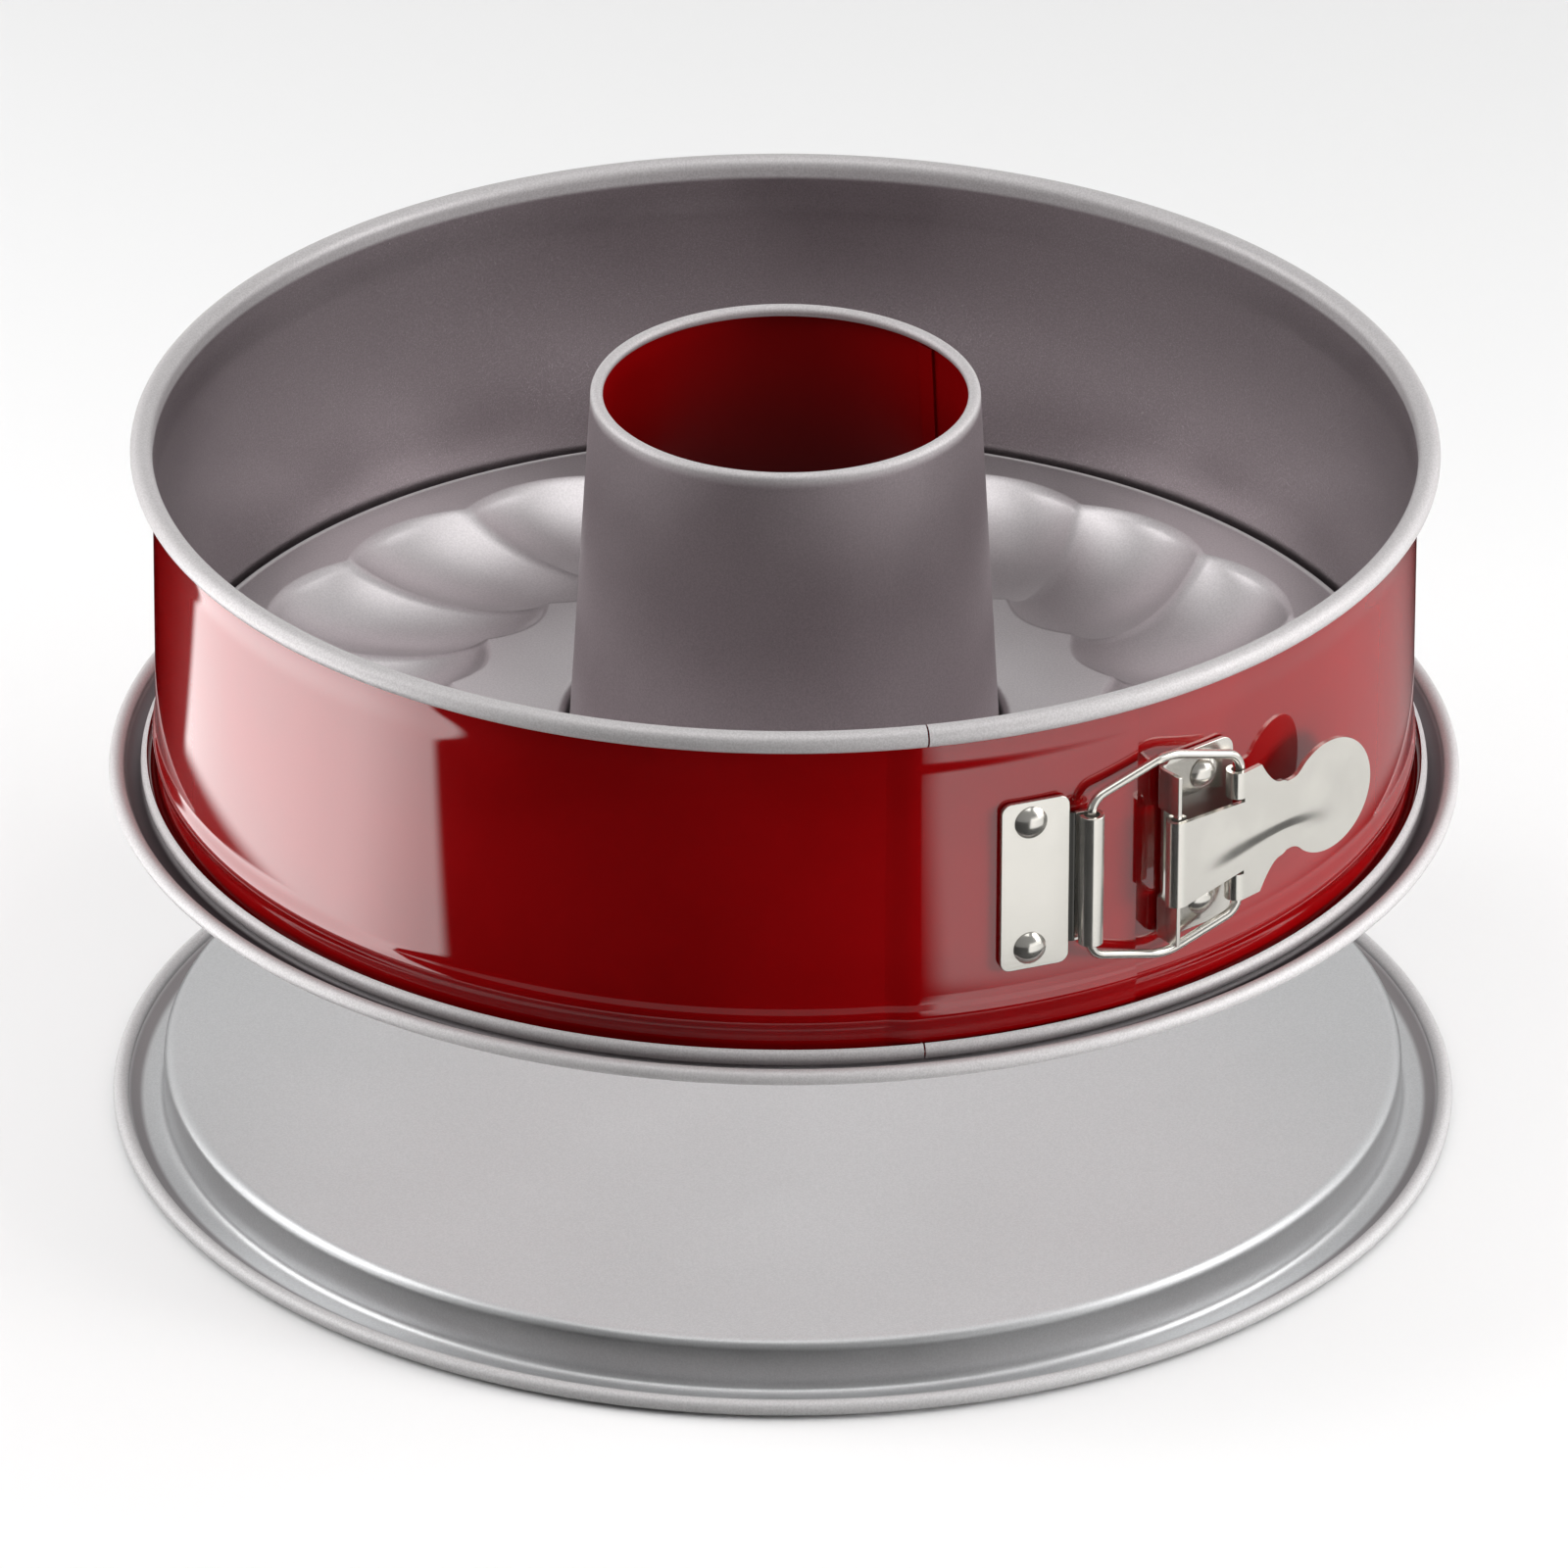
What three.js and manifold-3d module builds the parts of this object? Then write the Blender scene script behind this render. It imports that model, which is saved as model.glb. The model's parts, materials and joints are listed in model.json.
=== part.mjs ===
// Savarin springform mould: a clasped ring band, a fluted base with a chimney tube, and a flat base.
// Millimetres, +Z up. The origin is under the middle of the flat base and the clasp faces -Y and +X.

import * as THREE from 'three';
import { mergeVertices } from 'three/addons/utils/BufferGeometryUtils.js';
import Module from 'manifold-3d';

const wasm = await Module();
wasm.setup();

// Shared clearance between pieces that touch or fit
const FIT = 0.3;

// Ring band: inner radius of the cake space, sheet, rolls and pressed lines
const WALL_RADIUS = 130;
const BAND_SHEET = 0.6;
const BAND_HEIGHT = 76.1;
const TOP_ROLL_RADIUS = 2.3;
const TOP_ROLL_END = -115;
const FOOT_ROLL_RADIUS = 1.3;
const FOOT_ROLL_END = 70;
const GROOVE_HEIGHT = 9.4;
const GROOVE_HALF = 3.2;
const GROOVE_DEPTH = 0.7;
const SHOULDER_DROP = 10;
const SHOULDER_RISE = 3;
const SHOULDER_STEP = 0.6;
const BAND_STATIONS = 46;

// Band ends: the rims butt at the seam and one end runs on as a rimless tongue
const SEAM_AZIMUTH = 12.4;
const SEAM_GAP = 0.7;
const TONGUE_AZIMUTH = 32.9;
const TONGUE_RAMP = 3.3;
const TONGUE_ROOT = 0.5;
const TONGUE_STATIONS = 9;

// Bases: raised plate, gutter and a rolled rim that reaches past the inside of the wall
const BASE_SHEET = 0.6;
const RIM_REACH = 10.8;
const RIM_ROLL_RADIUS = 1.65;
const RIM_ROLL_END = -110;
const RIM_ROLL_LIFT = 0.3;
const PLATE_HEIGHT = 12.3;
const PLATE_EDGE_ROUND = 0.9;
const PLATE_WALL_TAPER = 0.3;
const PLATE_CLEARANCE = 0.6;
const FLAT_STATIONS = 36;

// Savarin base: flutes pressed down between scalloped edges set off from the wall and the tube
const FLUTES = 21;
const FLUTE_STEPS = 4;
const FLUTE_PHASE = 5.8;
const FLUTE_SKEW = 8.5;
const FLUTE_OUTER_MARGIN = 14.5;
const FLUTE_OUTER_SWELL = 4;
const FLUTE_INNER_MARGIN = 26;
const FLUTE_INNER_SWELL = 4.5;
const FLUTE_DEPTH = 9.8;
const RIDGE_DEPTH = 6.2;
const FLUTE_BOWL = 2.2;
const FLUTE_BOWL_SOFTNESS = 0.85;
const FLUTE_SLICES = 5;

// Tube: tapered chimney with an inward rolled top, standing in the collar of the savarin base
const TUBE_SHEET = 0.6;
const TUBE_TOP_RADIUS = 40.2;
const TUBE_FOOT_RADIUS = 45;
const TUBE_FOOT_HEIGHT = 5;
const TUBE_HEIGHT = 88.1;
const TUBE_ROLL_RADIUS = 1.3;
const TUBE_ROLL_END = 240;
const TUBE_FLANGE = 4.5;
const TUBE_STATIONS = 28;
const COLLAR_GAP = 0.6;
const COLLAR_ROUND = 2;
const SEAM_FOLD_AZIMUTH = 132.5;
const SEAM_FOLD_WIDTH = 4;
const SEAM_FOLD_STOP = 1;

// How far the savarin mould floats above the flat base, as the set is shown
const MOULD_LIFT = 76.5;

// Clasp: sheet, wire and the height of its middle above the underside of the savarin base
const CLASP_HEIGHT = 37.7;
const CLASP_SHEET = 1;
const WIRE_RADIUS = 1;
const RIVET_HEAD_RADIUS = 3;
const RIVET_HEAD_HEIGHT = 1.4;
const RIVET_SHANK_RADIUS = 1.5;
const RIVET_SPREAD = 14.3;
const RIVET_TAIL_RADIUS = 2.5;
const RIVET_TAIL_HEIGHT = 0.5;
const RIVET_SIDES = 10;

// Hook plate on the tongue, with a knuckle rolled round the bail
const HOOK_AZIMUTH = 22;
const HOOK_LEFT = 6.4;
const HOOK_RIGHT = 8;
const HOOK_HALF_HEIGHT = 19;
const HOOK_CORNER = 2.2;
const KNUCKLE_REACH = 12.6;
const KNUCKLE_HALF_HEIGHT = 14.6;
const KNUCKLE_TURN = 285;

// Lever bracket on the other band end, with a flange that carries the lever's pivot bar
const BRACKET_AZIMUTH = 40;
const PIVOT_OFFSET = 11.5;
const BRACKET_RIGHT = 8;
const BRACKET_HALF_HEIGHT = 20.5;
const BRACKET_CORNER = 3;
const FLANGE_HALF_HEIGHT = 19.3;
const PIVOT_STANDOFF = 5.4;
const PIVOT_BAR_DEPTH = 1.7;

// Lever: tongue rolled round the pivot bar, eared shoulders, waist and round thumb pad; its far end
// leans in towards the wall
const LEVER_TONGUE_HALF = 9.6;
const LEVER_ROOT_HALF = 7.8;
const LEVER_TURN = 280;
const LEVER_TILT = 6;
const EAR_DISTANCE = 17.6;
const EAR_TURN = 195;
const EAR_INNER = 8.4;
const SHOULDER_HALF = 14.5;
const SHOULDER_REACH = 22.5;
const WAIST_HALF = 8.8;
const WAIST_REACH = 28.3;
const PAD_REACH = 42.8;
const PAD_RADIUS = 12.4;
const PAD_NECK = 43;
const NECK_EASE = 2;
const RIB_START = 7;
const RIB_WIDTH = 3.4;
const RIB_HALF_DEPTH = 0.9;
const RIB_PROUD = 0.4;

// Bail: one wire bent to a six-sided loop; its ends lie off the middle of the ears, which leaves
// them room to pass the dead centre while the band stays stiff
const BAIL_BAR_HALF = 17.6;
const BAIL_BEND_REACH = 18.5;
const BAIL_BEND_HALF = 22.8;
const BAIL_SHOULDER_HALF = 17.6;
const BAIL_PIN_END = 9.2;
const BAIL_SLACK = 0.8;
const BAIL_CORNER = 3;
const BAIL_STEPS = 38;
const WIRE_SIDES = 6;

// Facet steps round the rolls, bends and curls
const ROUND_STEPS = 2;
const ROLL_STEPS = 4;
const TOP_ROLL_STEPS = 5;
const EAR_STEPS = 6;
const KNUCKLE_STEPS = 9;
const DOME_STEPS = 3;
const PLATE_ARC_STEPS = 4;
const PAD_ARC_STEPS = 7;
const RIB_STEPS = 8;

const radians = THREE.MathUtils.degToRad;
const vec2 = (x, y) => new THREE.Vector2(x, y);

// Fits worked out from the sizes above
const plateWallFoot = WALL_RADIUS - PLATE_CLEARANCE;
const gutterRound = FOOT_ROLL_RADIUS + PLATE_CLEARANCE;
const footRollCentre = plateWallFoot + gutterRound;
const footRollHeight = BASE_SHEET + gutterRound;
const fluteOuterCusp = WALL_RADIUS - FLUTE_OUTER_MARGIN;
const fluteInnerCusp = TUBE_FOOT_RADIUS + FLUTE_INNER_MARGIN;
const bandFoot = footRollHeight - FOOT_ROLL_RADIUS;
const bandTop = bandFoot + BAND_HEIGHT;
const topRollHeight = bandTop - TOP_ROLL_RADIUS;
const tongueShift = BAND_SHEET + FIT;
const hookBack = WALL_RADIUS + tongueShift + BAND_SHEET + FIT;
const bracketBack = WALL_RADIUS + BAND_SHEET + FIT;
const rollRadius = WIRE_RADIUS + FIT + CLASP_SHEET;
const knuckleDepth = hookBack + rollRadius;
const pivotDepth = bracketBack + CLASP_SHEET + PIVOT_STANDOFF;
const leverAzimuth = BRACKET_AZIMUTH + LEVER_TILT;
const pivot = planPoint(BRACKET_AZIMUTH, -PIVOT_OFFSET, -pivotDepth);

// Points on an arc of n steps, angles in degrees
function arc(cx, cy, radius, from, to, steps) {
  const points = [];
  for (let i = 0; i <= steps; i++) {
    const angle = radians(from + ((to - from) * i) / steps);
    points.push(vec2(cx + radius * Math.cos(angle), cy + radius * Math.sin(angle)));
  }
  return points;
}

// The same path moved sideways: to its right when the distance is positive
function offsetPath(path, distance) {
  return path.map((point, i) => {
    const before = path[Math.max(i - 1, 0)];
    const after = path[Math.min(i + 1, path.length - 1)];
    const into = (i > 0 ? point.clone().sub(before) : after.clone().sub(point)).normalize();
    const out = (i < path.length - 1 ? after.clone().sub(point) : into.clone()).normalize();
    const mitre = into.clone().add(out).normalize();
    const stretch = distance / Math.max(0.5, mitre.dot(into));
    return vec2(point.x + mitre.y * stretch, point.y - mitre.x * stretch);
  });
}

// Closed counterclockwise outline of a sheet that follows a path with its thickness on one side
function sheetOutline(path, thickness) {
  const outline = [...path, ...offsetPath(path, thickness).reverse()];
  return THREE.ShapeUtils.isClockWise(outline) ? outline.reverse() : outline;
}

// Solid between closed loops of points, running round as a ring or capped at both ends
function loft(loops, capOutline) {
  const size = loops[0].length;
  const positions = loops.flat().flatMap((p) => [p.x, p.y, p.z]);
  const index = [];
  const spans = capOutline ? loops.length - 1 : loops.length;
  for (let s = 0; s < spans; s++) {
    const here = s * size;
    const next = ((s + 1) % loops.length) * size;
    for (let k = 0; k < size; k++) {
      const step = (k + 1) % size;
      index.push(here + k, next + k, next + step);
      index.push(here + k, next + step, here + step);
    }
  }
  if (capOutline) {
    const last = (loops.length - 1) * size;
    for (const [a, b, c] of THREE.ShapeUtils.triangulateShape(capOutline, [])) {
      index.push(a, b, c);
      index.push(last + a, last + c, last + b);
    }
  }
  const geometry = new THREE.BufferGeometry();
  geometry.setAttribute('position', new THREE.Float32BufferAttribute(positions, 3));
  geometry.setIndex(index);
  return geometry;
}

// A profile point (radius, height) at an azimuth measured from the front towards +X
function turned(point, azimuth) {
  const angle = radians(azimuth);
  return new THREE.Vector3(point.x * Math.sin(angle), -point.x * Math.cos(angle), point.y);
}

// Solid of revolution about Z from a profile that starts and ends on the axis
function revolve(profile, stations) {
  return new THREE.LatheGeometry(profile, stations).rotateX(Math.PI / 2);
}

// Flat plate cut to an outline in width and height, standing outwards from y = 0
function plate(shape, thickness, curveSegments = PLATE_ARC_STEPS) {
  const options = { depth: thickness, bevelEnabled: false, curveSegments };
  return new THREE.ExtrudeGeometry(shape, options).rotateX(Math.PI / 2);
}

// Strip of bent sheet: a plan path with a thickness, raised from one height to another
function strip(path, thickness, low, high) {
  const shape = new THREE.Shape(sheetOutline(path, thickness));
  const options = { depth: high - low, bevelEnabled: false };
  return new THREE.ExtrudeGeometry(shape, options).translate(0, 0, low);
}

function solid(geometry) {
  const bare = geometry.clone();
  bare.deleteAttribute('normal');
  bare.deleteAttribute('uv');
  const merged = mergeVertices(bare, 1e-4);
  const vertProperties = new Float32Array(merged.attributes.position.array);
  const index = merged.index.array;
  const corners = [];
  for (let i = 0; i < index.length; i += 3) {
    const [a, b, c] = [index[i], index[i + 1], index[i + 2]];
    if (a !== b && b !== c && c !== a) corners.push(a, b, c);
  }
  const triVerts = new Uint32Array(corners);
  return new wasm.Manifold(new wasm.Mesh({ numProp: 3, vertProperties, triVerts }));
}

function geometryOf(manifold) {
  const mesh = manifold.getMesh();
  const geometry = new THREE.BufferGeometry();
  geometry.setAttribute('position', new THREE.Float32BufferAttribute(mesh.vertProperties, 3));
  geometry.setIndex([...mesh.triVerts]);
  return geometry;
}

function join(...geometries) {
  return geometryOf(geometries.map(solid).reduce((sum, next) => sum.add(next)));
}

function finish(color, roughness, metalness) {
  return new THREE.MeshStandardMaterial({ color, roughness, metalness });
}

const mould = new THREE.Group();

function place(parent, name, geometry, material) {
  const mesh = new THREE.Mesh(geometry, material);
  mesh.name = name;
  parent.add(mesh);
  return mesh;
}

// Frame on the band whose X runs along the wall, -Y outwards and Z up from the clasp's middle
function claspFrame(azimuth) {
  const frame = new THREE.Group();
  frame.rotation.z = radians(azimuth);
  frame.position.z = MOULD_LIFT + CLASP_HEIGHT;
  mould.add(frame);
  return frame;
}

// Ring band

// Grey face of the wall: groove near the foot, and a shoulder below the rim
function wallPath(foot, top) {
  const groove = bandFoot + GROOVE_HEIGHT;
  const shoulder = bandTop - SHOULDER_DROP;
  return [
    vec2(WALL_RADIUS, foot),
    vec2(WALL_RADIUS, groove - GROOVE_HALF),
    vec2(WALL_RADIUS + GROOVE_DEPTH, groove),
    vec2(WALL_RADIUS, groove + GROOVE_HALF),
    vec2(WALL_RADIUS, shoulder),
    vec2(WALL_RADIUS + SHOULDER_STEP, shoulder + SHOULDER_RISE),
    vec2(WALL_RADIUS + SHOULDER_STEP, top),
  ];
}

function bandOutline() {
  const topRollCentre = WALL_RADIUS + SHOULDER_STEP + TOP_ROLL_RADIUS;
  const footRoll = arc(footRollCentre, footRollHeight, FOOT_ROLL_RADIUS, FOOT_ROLL_END, -180, ROLL_STEPS);
  const topRoll = arc(topRollCentre, topRollHeight, TOP_ROLL_RADIUS, 180, TOP_ROLL_END, TOP_ROLL_STEPS);
  const wall = wallPath(footRollHeight, topRollHeight).slice(1, -1);
  return sheetOutline([...footRoll, ...wall, ...topRoll], BAND_SHEET);
}

function bandWall() {
  const outline = bandOutline();
  const halfGap = THREE.MathUtils.radToDeg(SEAM_GAP / 2 / WALL_RADIUS);
  const start = SEAM_AZIMUTH + halfGap;
  const sweep = 360 - 2 * halfGap;
  const loops = [];
  for (let s = 0; s <= BAND_STATIONS; s++) {
    const azimuth = start + (sweep * s) / BAND_STATIONS;
    loops.push(outline.map((point) => turned(point, azimuth)));
  }
  return loft(loops, outline);
}

// The tongue leaves the band end within its sheet and steps out to lie over the other end
function bandTongue() {
  const low = footRollHeight + FOOT_ROLL_RADIUS + 2 * FIT;
  const high = topRollHeight - TOP_ROLL_RADIUS - 2 * FIT;
  const path = wallPath(low, high);
  const start = SEAM_AZIMUTH - TONGUE_RAMP - TONGUE_ROOT;
  const loops = [];
  let outline;
  for (let s = 0; s <= TONGUE_STATIONS; s++) {
    const azimuth = start + ((TONGUE_AZIMUTH - start) * s) / TONGUE_STATIONS;
    const rise = THREE.MathUtils.smoothstep(azimuth, start, start + TONGUE_RAMP);
    const shift = THREE.MathUtils.lerp(BAND_SHEET / 3, tongueShift, rise);
    const face = path.map((point) => vec2(point.x + shift, point.y));
    const thickness = THREE.MathUtils.lerp(BAND_SHEET / 2, BAND_SHEET, rise);
    outline = sheetOutline(face, thickness);
    loops.push(outline.map((point) => turned(point, azimuth)));
  }
  return loft(loops, outline);
}

// Radial drill for the rivets of a plate at an azimuth, from one depth to another
function rivetHole(azimuth, side, from, to) {
  const radius = RIVET_SHANK_RADIUS + FIT;
  const drill = new THREE.CylinderGeometry(radius, radius, to - from, RIVET_SIDES);
  drill.translate(0, -(from + to) / 2, CLASP_HEIGHT + side * RIVET_SPREAD);
  return solid(drill.rotateZ(radians(azimuth)));
}

function ringBand() {
  let tongue = solid(bandTongue());
  let wall = solid(bandWall());
  for (const side of [-1, 1]) {
    const tongueFace = WALL_RADIUS + BAND_SHEET + FIT / 2;
    tongue = tongue.subtract(rivetHole(HOOK_AZIMUTH, side, tongueFace, hookBack + FIT));
    wall = wall.subtract(rivetHole(BRACKET_AZIMUTH, side, WALL_RADIUS - BAND_SHEET, bracketBack));
  }
  const band = place(mould, 'ring_band', geometryOf(wall.add(tongue)), finish(0x8e0f16, 0.18, 0.1));
  band.position.z = MOULD_LIFT;
}

// Bases

// Top face from the plate's edge over the wall and the gutter to the rolled rim
function baseEdgePath() {
  const edgeStart = plateWallFoot - PLATE_WALL_TAPER - PLATE_EDGE_ROUND;
  const rimCentre = WALL_RADIUS + RIM_REACH - RIM_ROLL_RADIUS;
  const rimHeight = RIM_ROLL_LIFT + RIM_ROLL_RADIUS;
  return [
    vec2(edgeStart, PLATE_HEIGHT),
    vec2(edgeStart + PLATE_EDGE_ROUND, PLATE_HEIGHT - PLATE_EDGE_ROUND),
    ...arc(footRollCentre, footRollHeight, gutterRound, 180, 270, ROUND_STEPS),
    vec2(rimCentre - 2 * RIM_ROLL_RADIUS, BASE_SHEET),
    ...arc(rimCentre, rimHeight, RIM_ROLL_RADIUS, 180, RIM_ROLL_END, ROLL_STEPS),
  ];
}

function flatBase() {
  const outline = sheetOutline([vec2(0, PLATE_HEIGHT), ...baseEdgePath()], BASE_SHEET);
  const start = outline.findIndex((point) => point.x === 0 && point.y < PLATE_HEIGHT);
  const profile = [...outline.slice(start), ...outline.slice(0, start)];
  place(mould, 'flat_base', revolve(profile, FLAT_STATIONS), finish(0xb9b6b8, 0.42, 0.75));
}

// How far a flute is pressed down: round along the ring between sharp ridges, and round across it
function flutePress(phase, across) {
  const along = 1 - (2 * phase - 1) ** 2;
  const bowl = (1 - Math.abs(2 * across - 1) ** FLUTE_BOWL) ** FLUTE_BOWL_SOFTNESS;
  return bowl * (RIDGE_DEPTH + (FLUTE_DEPTH - RIDGE_DEPTH) * along);
}

// Flute points from the inner to the outer scalloped edge
function flutePath(phase) {
  const along = 1 - (2 * phase - 1) ** 2;
  const inner = fluteInnerCusp - FLUTE_INNER_SWELL * along;
  const outer = fluteOuterCusp + FLUTE_OUTER_SWELL * along;
  const points = [];
  for (let i = 0; i <= FLUTE_SLICES; i++) {
    const across = (1 - Math.cos((Math.PI * i) / FLUTE_SLICES)) / 2;
    const radius = THREE.MathUtils.lerp(inner, outer, across);
    points.push(vec2(radius, PLATE_HEIGHT - flutePress(phase, across)));
  }
  return points;
}

// Creases lean: their inner ends lie further round than their outer ends
function fluteLean(radius) {
  const across = (fluteOuterCusp - radius) / (fluteOuterCusp - fluteInnerCusp);
  return -FLUTE_SKEW * THREE.MathUtils.clamp(across, 0, 1);
}

function tubeRadius(height) {
  const rise = (height - TUBE_FOOT_HEIGHT) / (TUBE_HEIGHT - TUBE_FOOT_HEIGHT);
  return THREE.MathUtils.lerp(TUBE_FOOT_RADIUS, TUBE_TOP_RADIUS, rise);
}

function savarinBase() {
  const collar = TUBE_FOOT_RADIUS + COLLAR_GAP;
  const collarFoot = TUBE_FOOT_HEIGHT + TUBE_SHEET + FIT;
  const collarPath = [
    vec2(collar, collarFoot),
    vec2(collar, PLATE_HEIGHT - COLLAR_ROUND),
    vec2(collar + COLLAR_ROUND, PLATE_HEIGHT),
  ];
  const stations = FLUTES * FLUTE_STEPS;
  const loops = [];
  for (let s = 0; s < stations; s++) {
    const phase = (s % FLUTE_STEPS) / FLUTE_STEPS;
    const azimuth = 90 + FLUTE_PHASE + (360 * s) / stations;
    const path = [...collarPath, ...flutePath(phase), ...baseEdgePath()];
    const outline = sheetOutline(path, BASE_SHEET);
    loops.push(outline.map((point) => turned(point, azimuth + fluteLean(point.x))));
  }
  const base = place(mould, 'savarin_base', loft(loops), finish(0xa39fa1, 0.38, 0.8));
  base.position.z = MOULD_LIFT;
}

// The tube stands on a flange under the collar, and its sheet is doubled at the lock seam
function chimneyTube() {
  const foot = TUBE_FOOT_HEIGHT;
  const rollHeight = TUBE_HEIGHT - TUBE_ROLL_RADIUS;
  const rollCentre = tubeRadius(rollHeight) - TUBE_ROLL_RADIUS;
  const face = [
    vec2(TUBE_FOOT_RADIUS + TUBE_FLANGE, foot + TUBE_SHEET),
    vec2(TUBE_FOOT_RADIUS, foot + TUBE_SHEET),
    ...arc(rollCentre, rollHeight, TUBE_ROLL_RADIUS, 0, TUBE_ROLL_END, TOP_ROLL_STEPS),
  ];
  const plain = sheetOutline(face, -TUBE_SHEET);
  const tube = loft(azimuths(TUBE_STATIONS).map((azimuth) => plain.map((p) => turned(p, azimuth))));
  const mesh = place(mould, 'tube', join(tube, lockSeam()), finish(0x8a8588, 0.36, 0.8));
  mesh.position.z = MOULD_LIFT;
}

function azimuths(stations) {
  return Array.from({ length: stations }, (_, s) => (360 * s) / stations);
}

// Folded strip up the inside of the tube
function lockSeam() {
  const low = TUBE_FOOT_HEIGHT + TUBE_SHEET + SEAM_FOLD_STOP;
  const high = TUBE_HEIGHT - 2 * TUBE_ROLL_RADIUS - SEAM_FOLD_STOP;
  const half = THREE.MathUtils.radToDeg(SEAM_FOLD_WIDTH / 2 / TUBE_TOP_RADIUS);
  const middle = TUBE_SHEET / 2;
  const face = [low, high].map((height) => vec2(tubeRadius(height) - middle, height));
  const outline = sheetOutline(face, -2 * TUBE_SHEET + middle);
  const edges = [SEAM_FOLD_AZIMUTH - half, SEAM_FOLD_AZIMUTH + half];
  return loft(edges.map((azimuth) => outline.map((p) => turned(p, azimuth))), outline);
}

// Clasp

const nickel = () => finish(0xd8d3c6, 0.16, 1);

function roundedPlate(left, right, half, corner) {
  const shape = new THREE.Shape();
  shape.moveTo(left + corner, -half);
  shape.lineTo(right - corner, -half);
  shape.absarc(right - corner, -half + corner, corner, -Math.PI / 2, 0);
  shape.lineTo(right, half - corner);
  shape.absarc(right - corner, half - corner, corner, 0, Math.PI / 2);
  shape.lineTo(left + corner, half);
  shape.absarc(left + corner, half - corner, corner, Math.PI / 2, Math.PI);
  shape.lineTo(left, -half + corner);
  shape.absarc(left + corner, -half + corner, corner, Math.PI, 1.5 * Math.PI);
  for (const side of [-1, 1]) {
    const hole = new THREE.Path();
    hole.absarc(0, side * RIVET_SPREAD, RIVET_SHANK_RADIUS + FIT, 0, 2 * Math.PI);
    shape.holes.push(hole);
  }
  return shape;
}

// Domed rivet along -Y from the inner end of its shank, with a flat tail where the wall leaves room
function rivet(shankLength, hasTail) {
  const tail = [
    vec2(0, -RIVET_TAIL_HEIGHT),
    vec2(RIVET_TAIL_RADIUS, -RIVET_TAIL_HEIGHT),
    vec2(RIVET_TAIL_RADIUS, 0),
  ];
  const profile = [
    ...(hasTail ? tail : [vec2(0, 0)]),
    vec2(RIVET_SHANK_RADIUS, 0),
    vec2(RIVET_SHANK_RADIUS, shankLength),
  ];
  for (let i = 0; i <= DOME_STEPS; i++) {
    const rise = (Math.PI / 2 / DOME_STEPS) * i;
    const radius = i < DOME_STEPS ? RIVET_HEAD_RADIUS * Math.cos(rise) : 0;
    profile.push(vec2(radius, shankLength + RIVET_HEAD_HEIGHT * Math.sin(rise)));
  }
  return new THREE.LatheGeometry(profile, RIVET_SIDES).rotateX(Math.PI);
}

function rivetPair(frame, name, innerDepth, headSeat, hasTail) {
  for (const [side, label] of [[1, 'upper'], [-1, 'lower']]) {
    const geometry = rivet(headSeat - innerDepth, hasTail);
    const mesh = place(frame, `${name}_rivet_${label}`, geometry, nickel());
    mesh.position.set(0, -innerDepth, side * RIVET_SPREAD);
  }
}

function hookPlate() {
  const frame = claspFrame(HOOK_AZIMUTH);
  const flat = plate(roundedPlate(-HOOK_LEFT, HOOK_RIGHT, HOOK_HALF_HEIGHT, HOOK_CORNER), CLASP_SHEET);
  flat.translate(0, -hookBack, 0);
  const roll = arc(KNUCKLE_REACH, -knuckleDepth, rollRadius, 90, 90 - KNUCKLE_TURN, KNUCKLE_STEPS);
  const path = [vec2(HOOK_RIGHT - CLASP_SHEET, -hookBack), ...roll];
  const knuckle = strip(path, CLASP_SHEET, -KNUCKLE_HALF_HEIGHT, KNUCKLE_HALF_HEIGHT);
  place(frame, 'hook_plate', join(flat, knuckle), nickel());
  const tongueFace = WALL_RADIUS + tongueShift;
  rivetPair(frame, 'hook_plate', tongueFace, hookBack + CLASP_SHEET + FIT, false);
}

// Plate with a flange bent outwards at its left edge; a window leaves the pivot bar across the middle
function leverBracket() {
  const frame = claspFrame(BRACKET_AZIMUTH);
  const left = -PIVOT_OFFSET - CLASP_SHEET / 2;
  const flat = plate(
    roundedPlate(left, BRACKET_RIGHT, BRACKET_HALF_HEIGHT, BRACKET_CORNER),
    CLASP_SHEET,
  ).translate(0, -bracketBack, 0);
  const window = LEVER_TONGUE_HALF + 2 * FIT;
  const tip = pivotDepth + PIVOT_BAR_DEPTH / 2;
  const barBack = pivotDepth - PIVOT_BAR_DEPTH / 2;
  const flange = new THREE.Shape([
    vec2(bracketBack + CLASP_SHEET / 2, -FLANGE_HALF_HEIGHT),
    vec2(tip, -FLANGE_HALF_HEIGHT + CLASP_SHEET),
    vec2(tip, FLANGE_HALF_HEIGHT - CLASP_SHEET),
    vec2(bracketBack + CLASP_SHEET / 2, FLANGE_HALF_HEIGHT),
  ]);
  flange.holes.push(new THREE.Path([
    vec2(bracketBack + CLASP_SHEET, -window),
    vec2(barBack, -window),
    vec2(barBack, window),
    vec2(bracketBack + CLASP_SHEET, window),
  ]));
  const upright = plate(flange, CLASP_SHEET).rotateZ(-Math.PI / 2).translate(left + CLASP_SHEET, 0, 0);
  place(frame, 'lever_bracket', join(flat, upright), nickel());
  rivetPair(frame, 'bracket', WALL_RADIUS - 2 * FIT, bracketBack + CLASP_SHEET + FIT, true);
}

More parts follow.
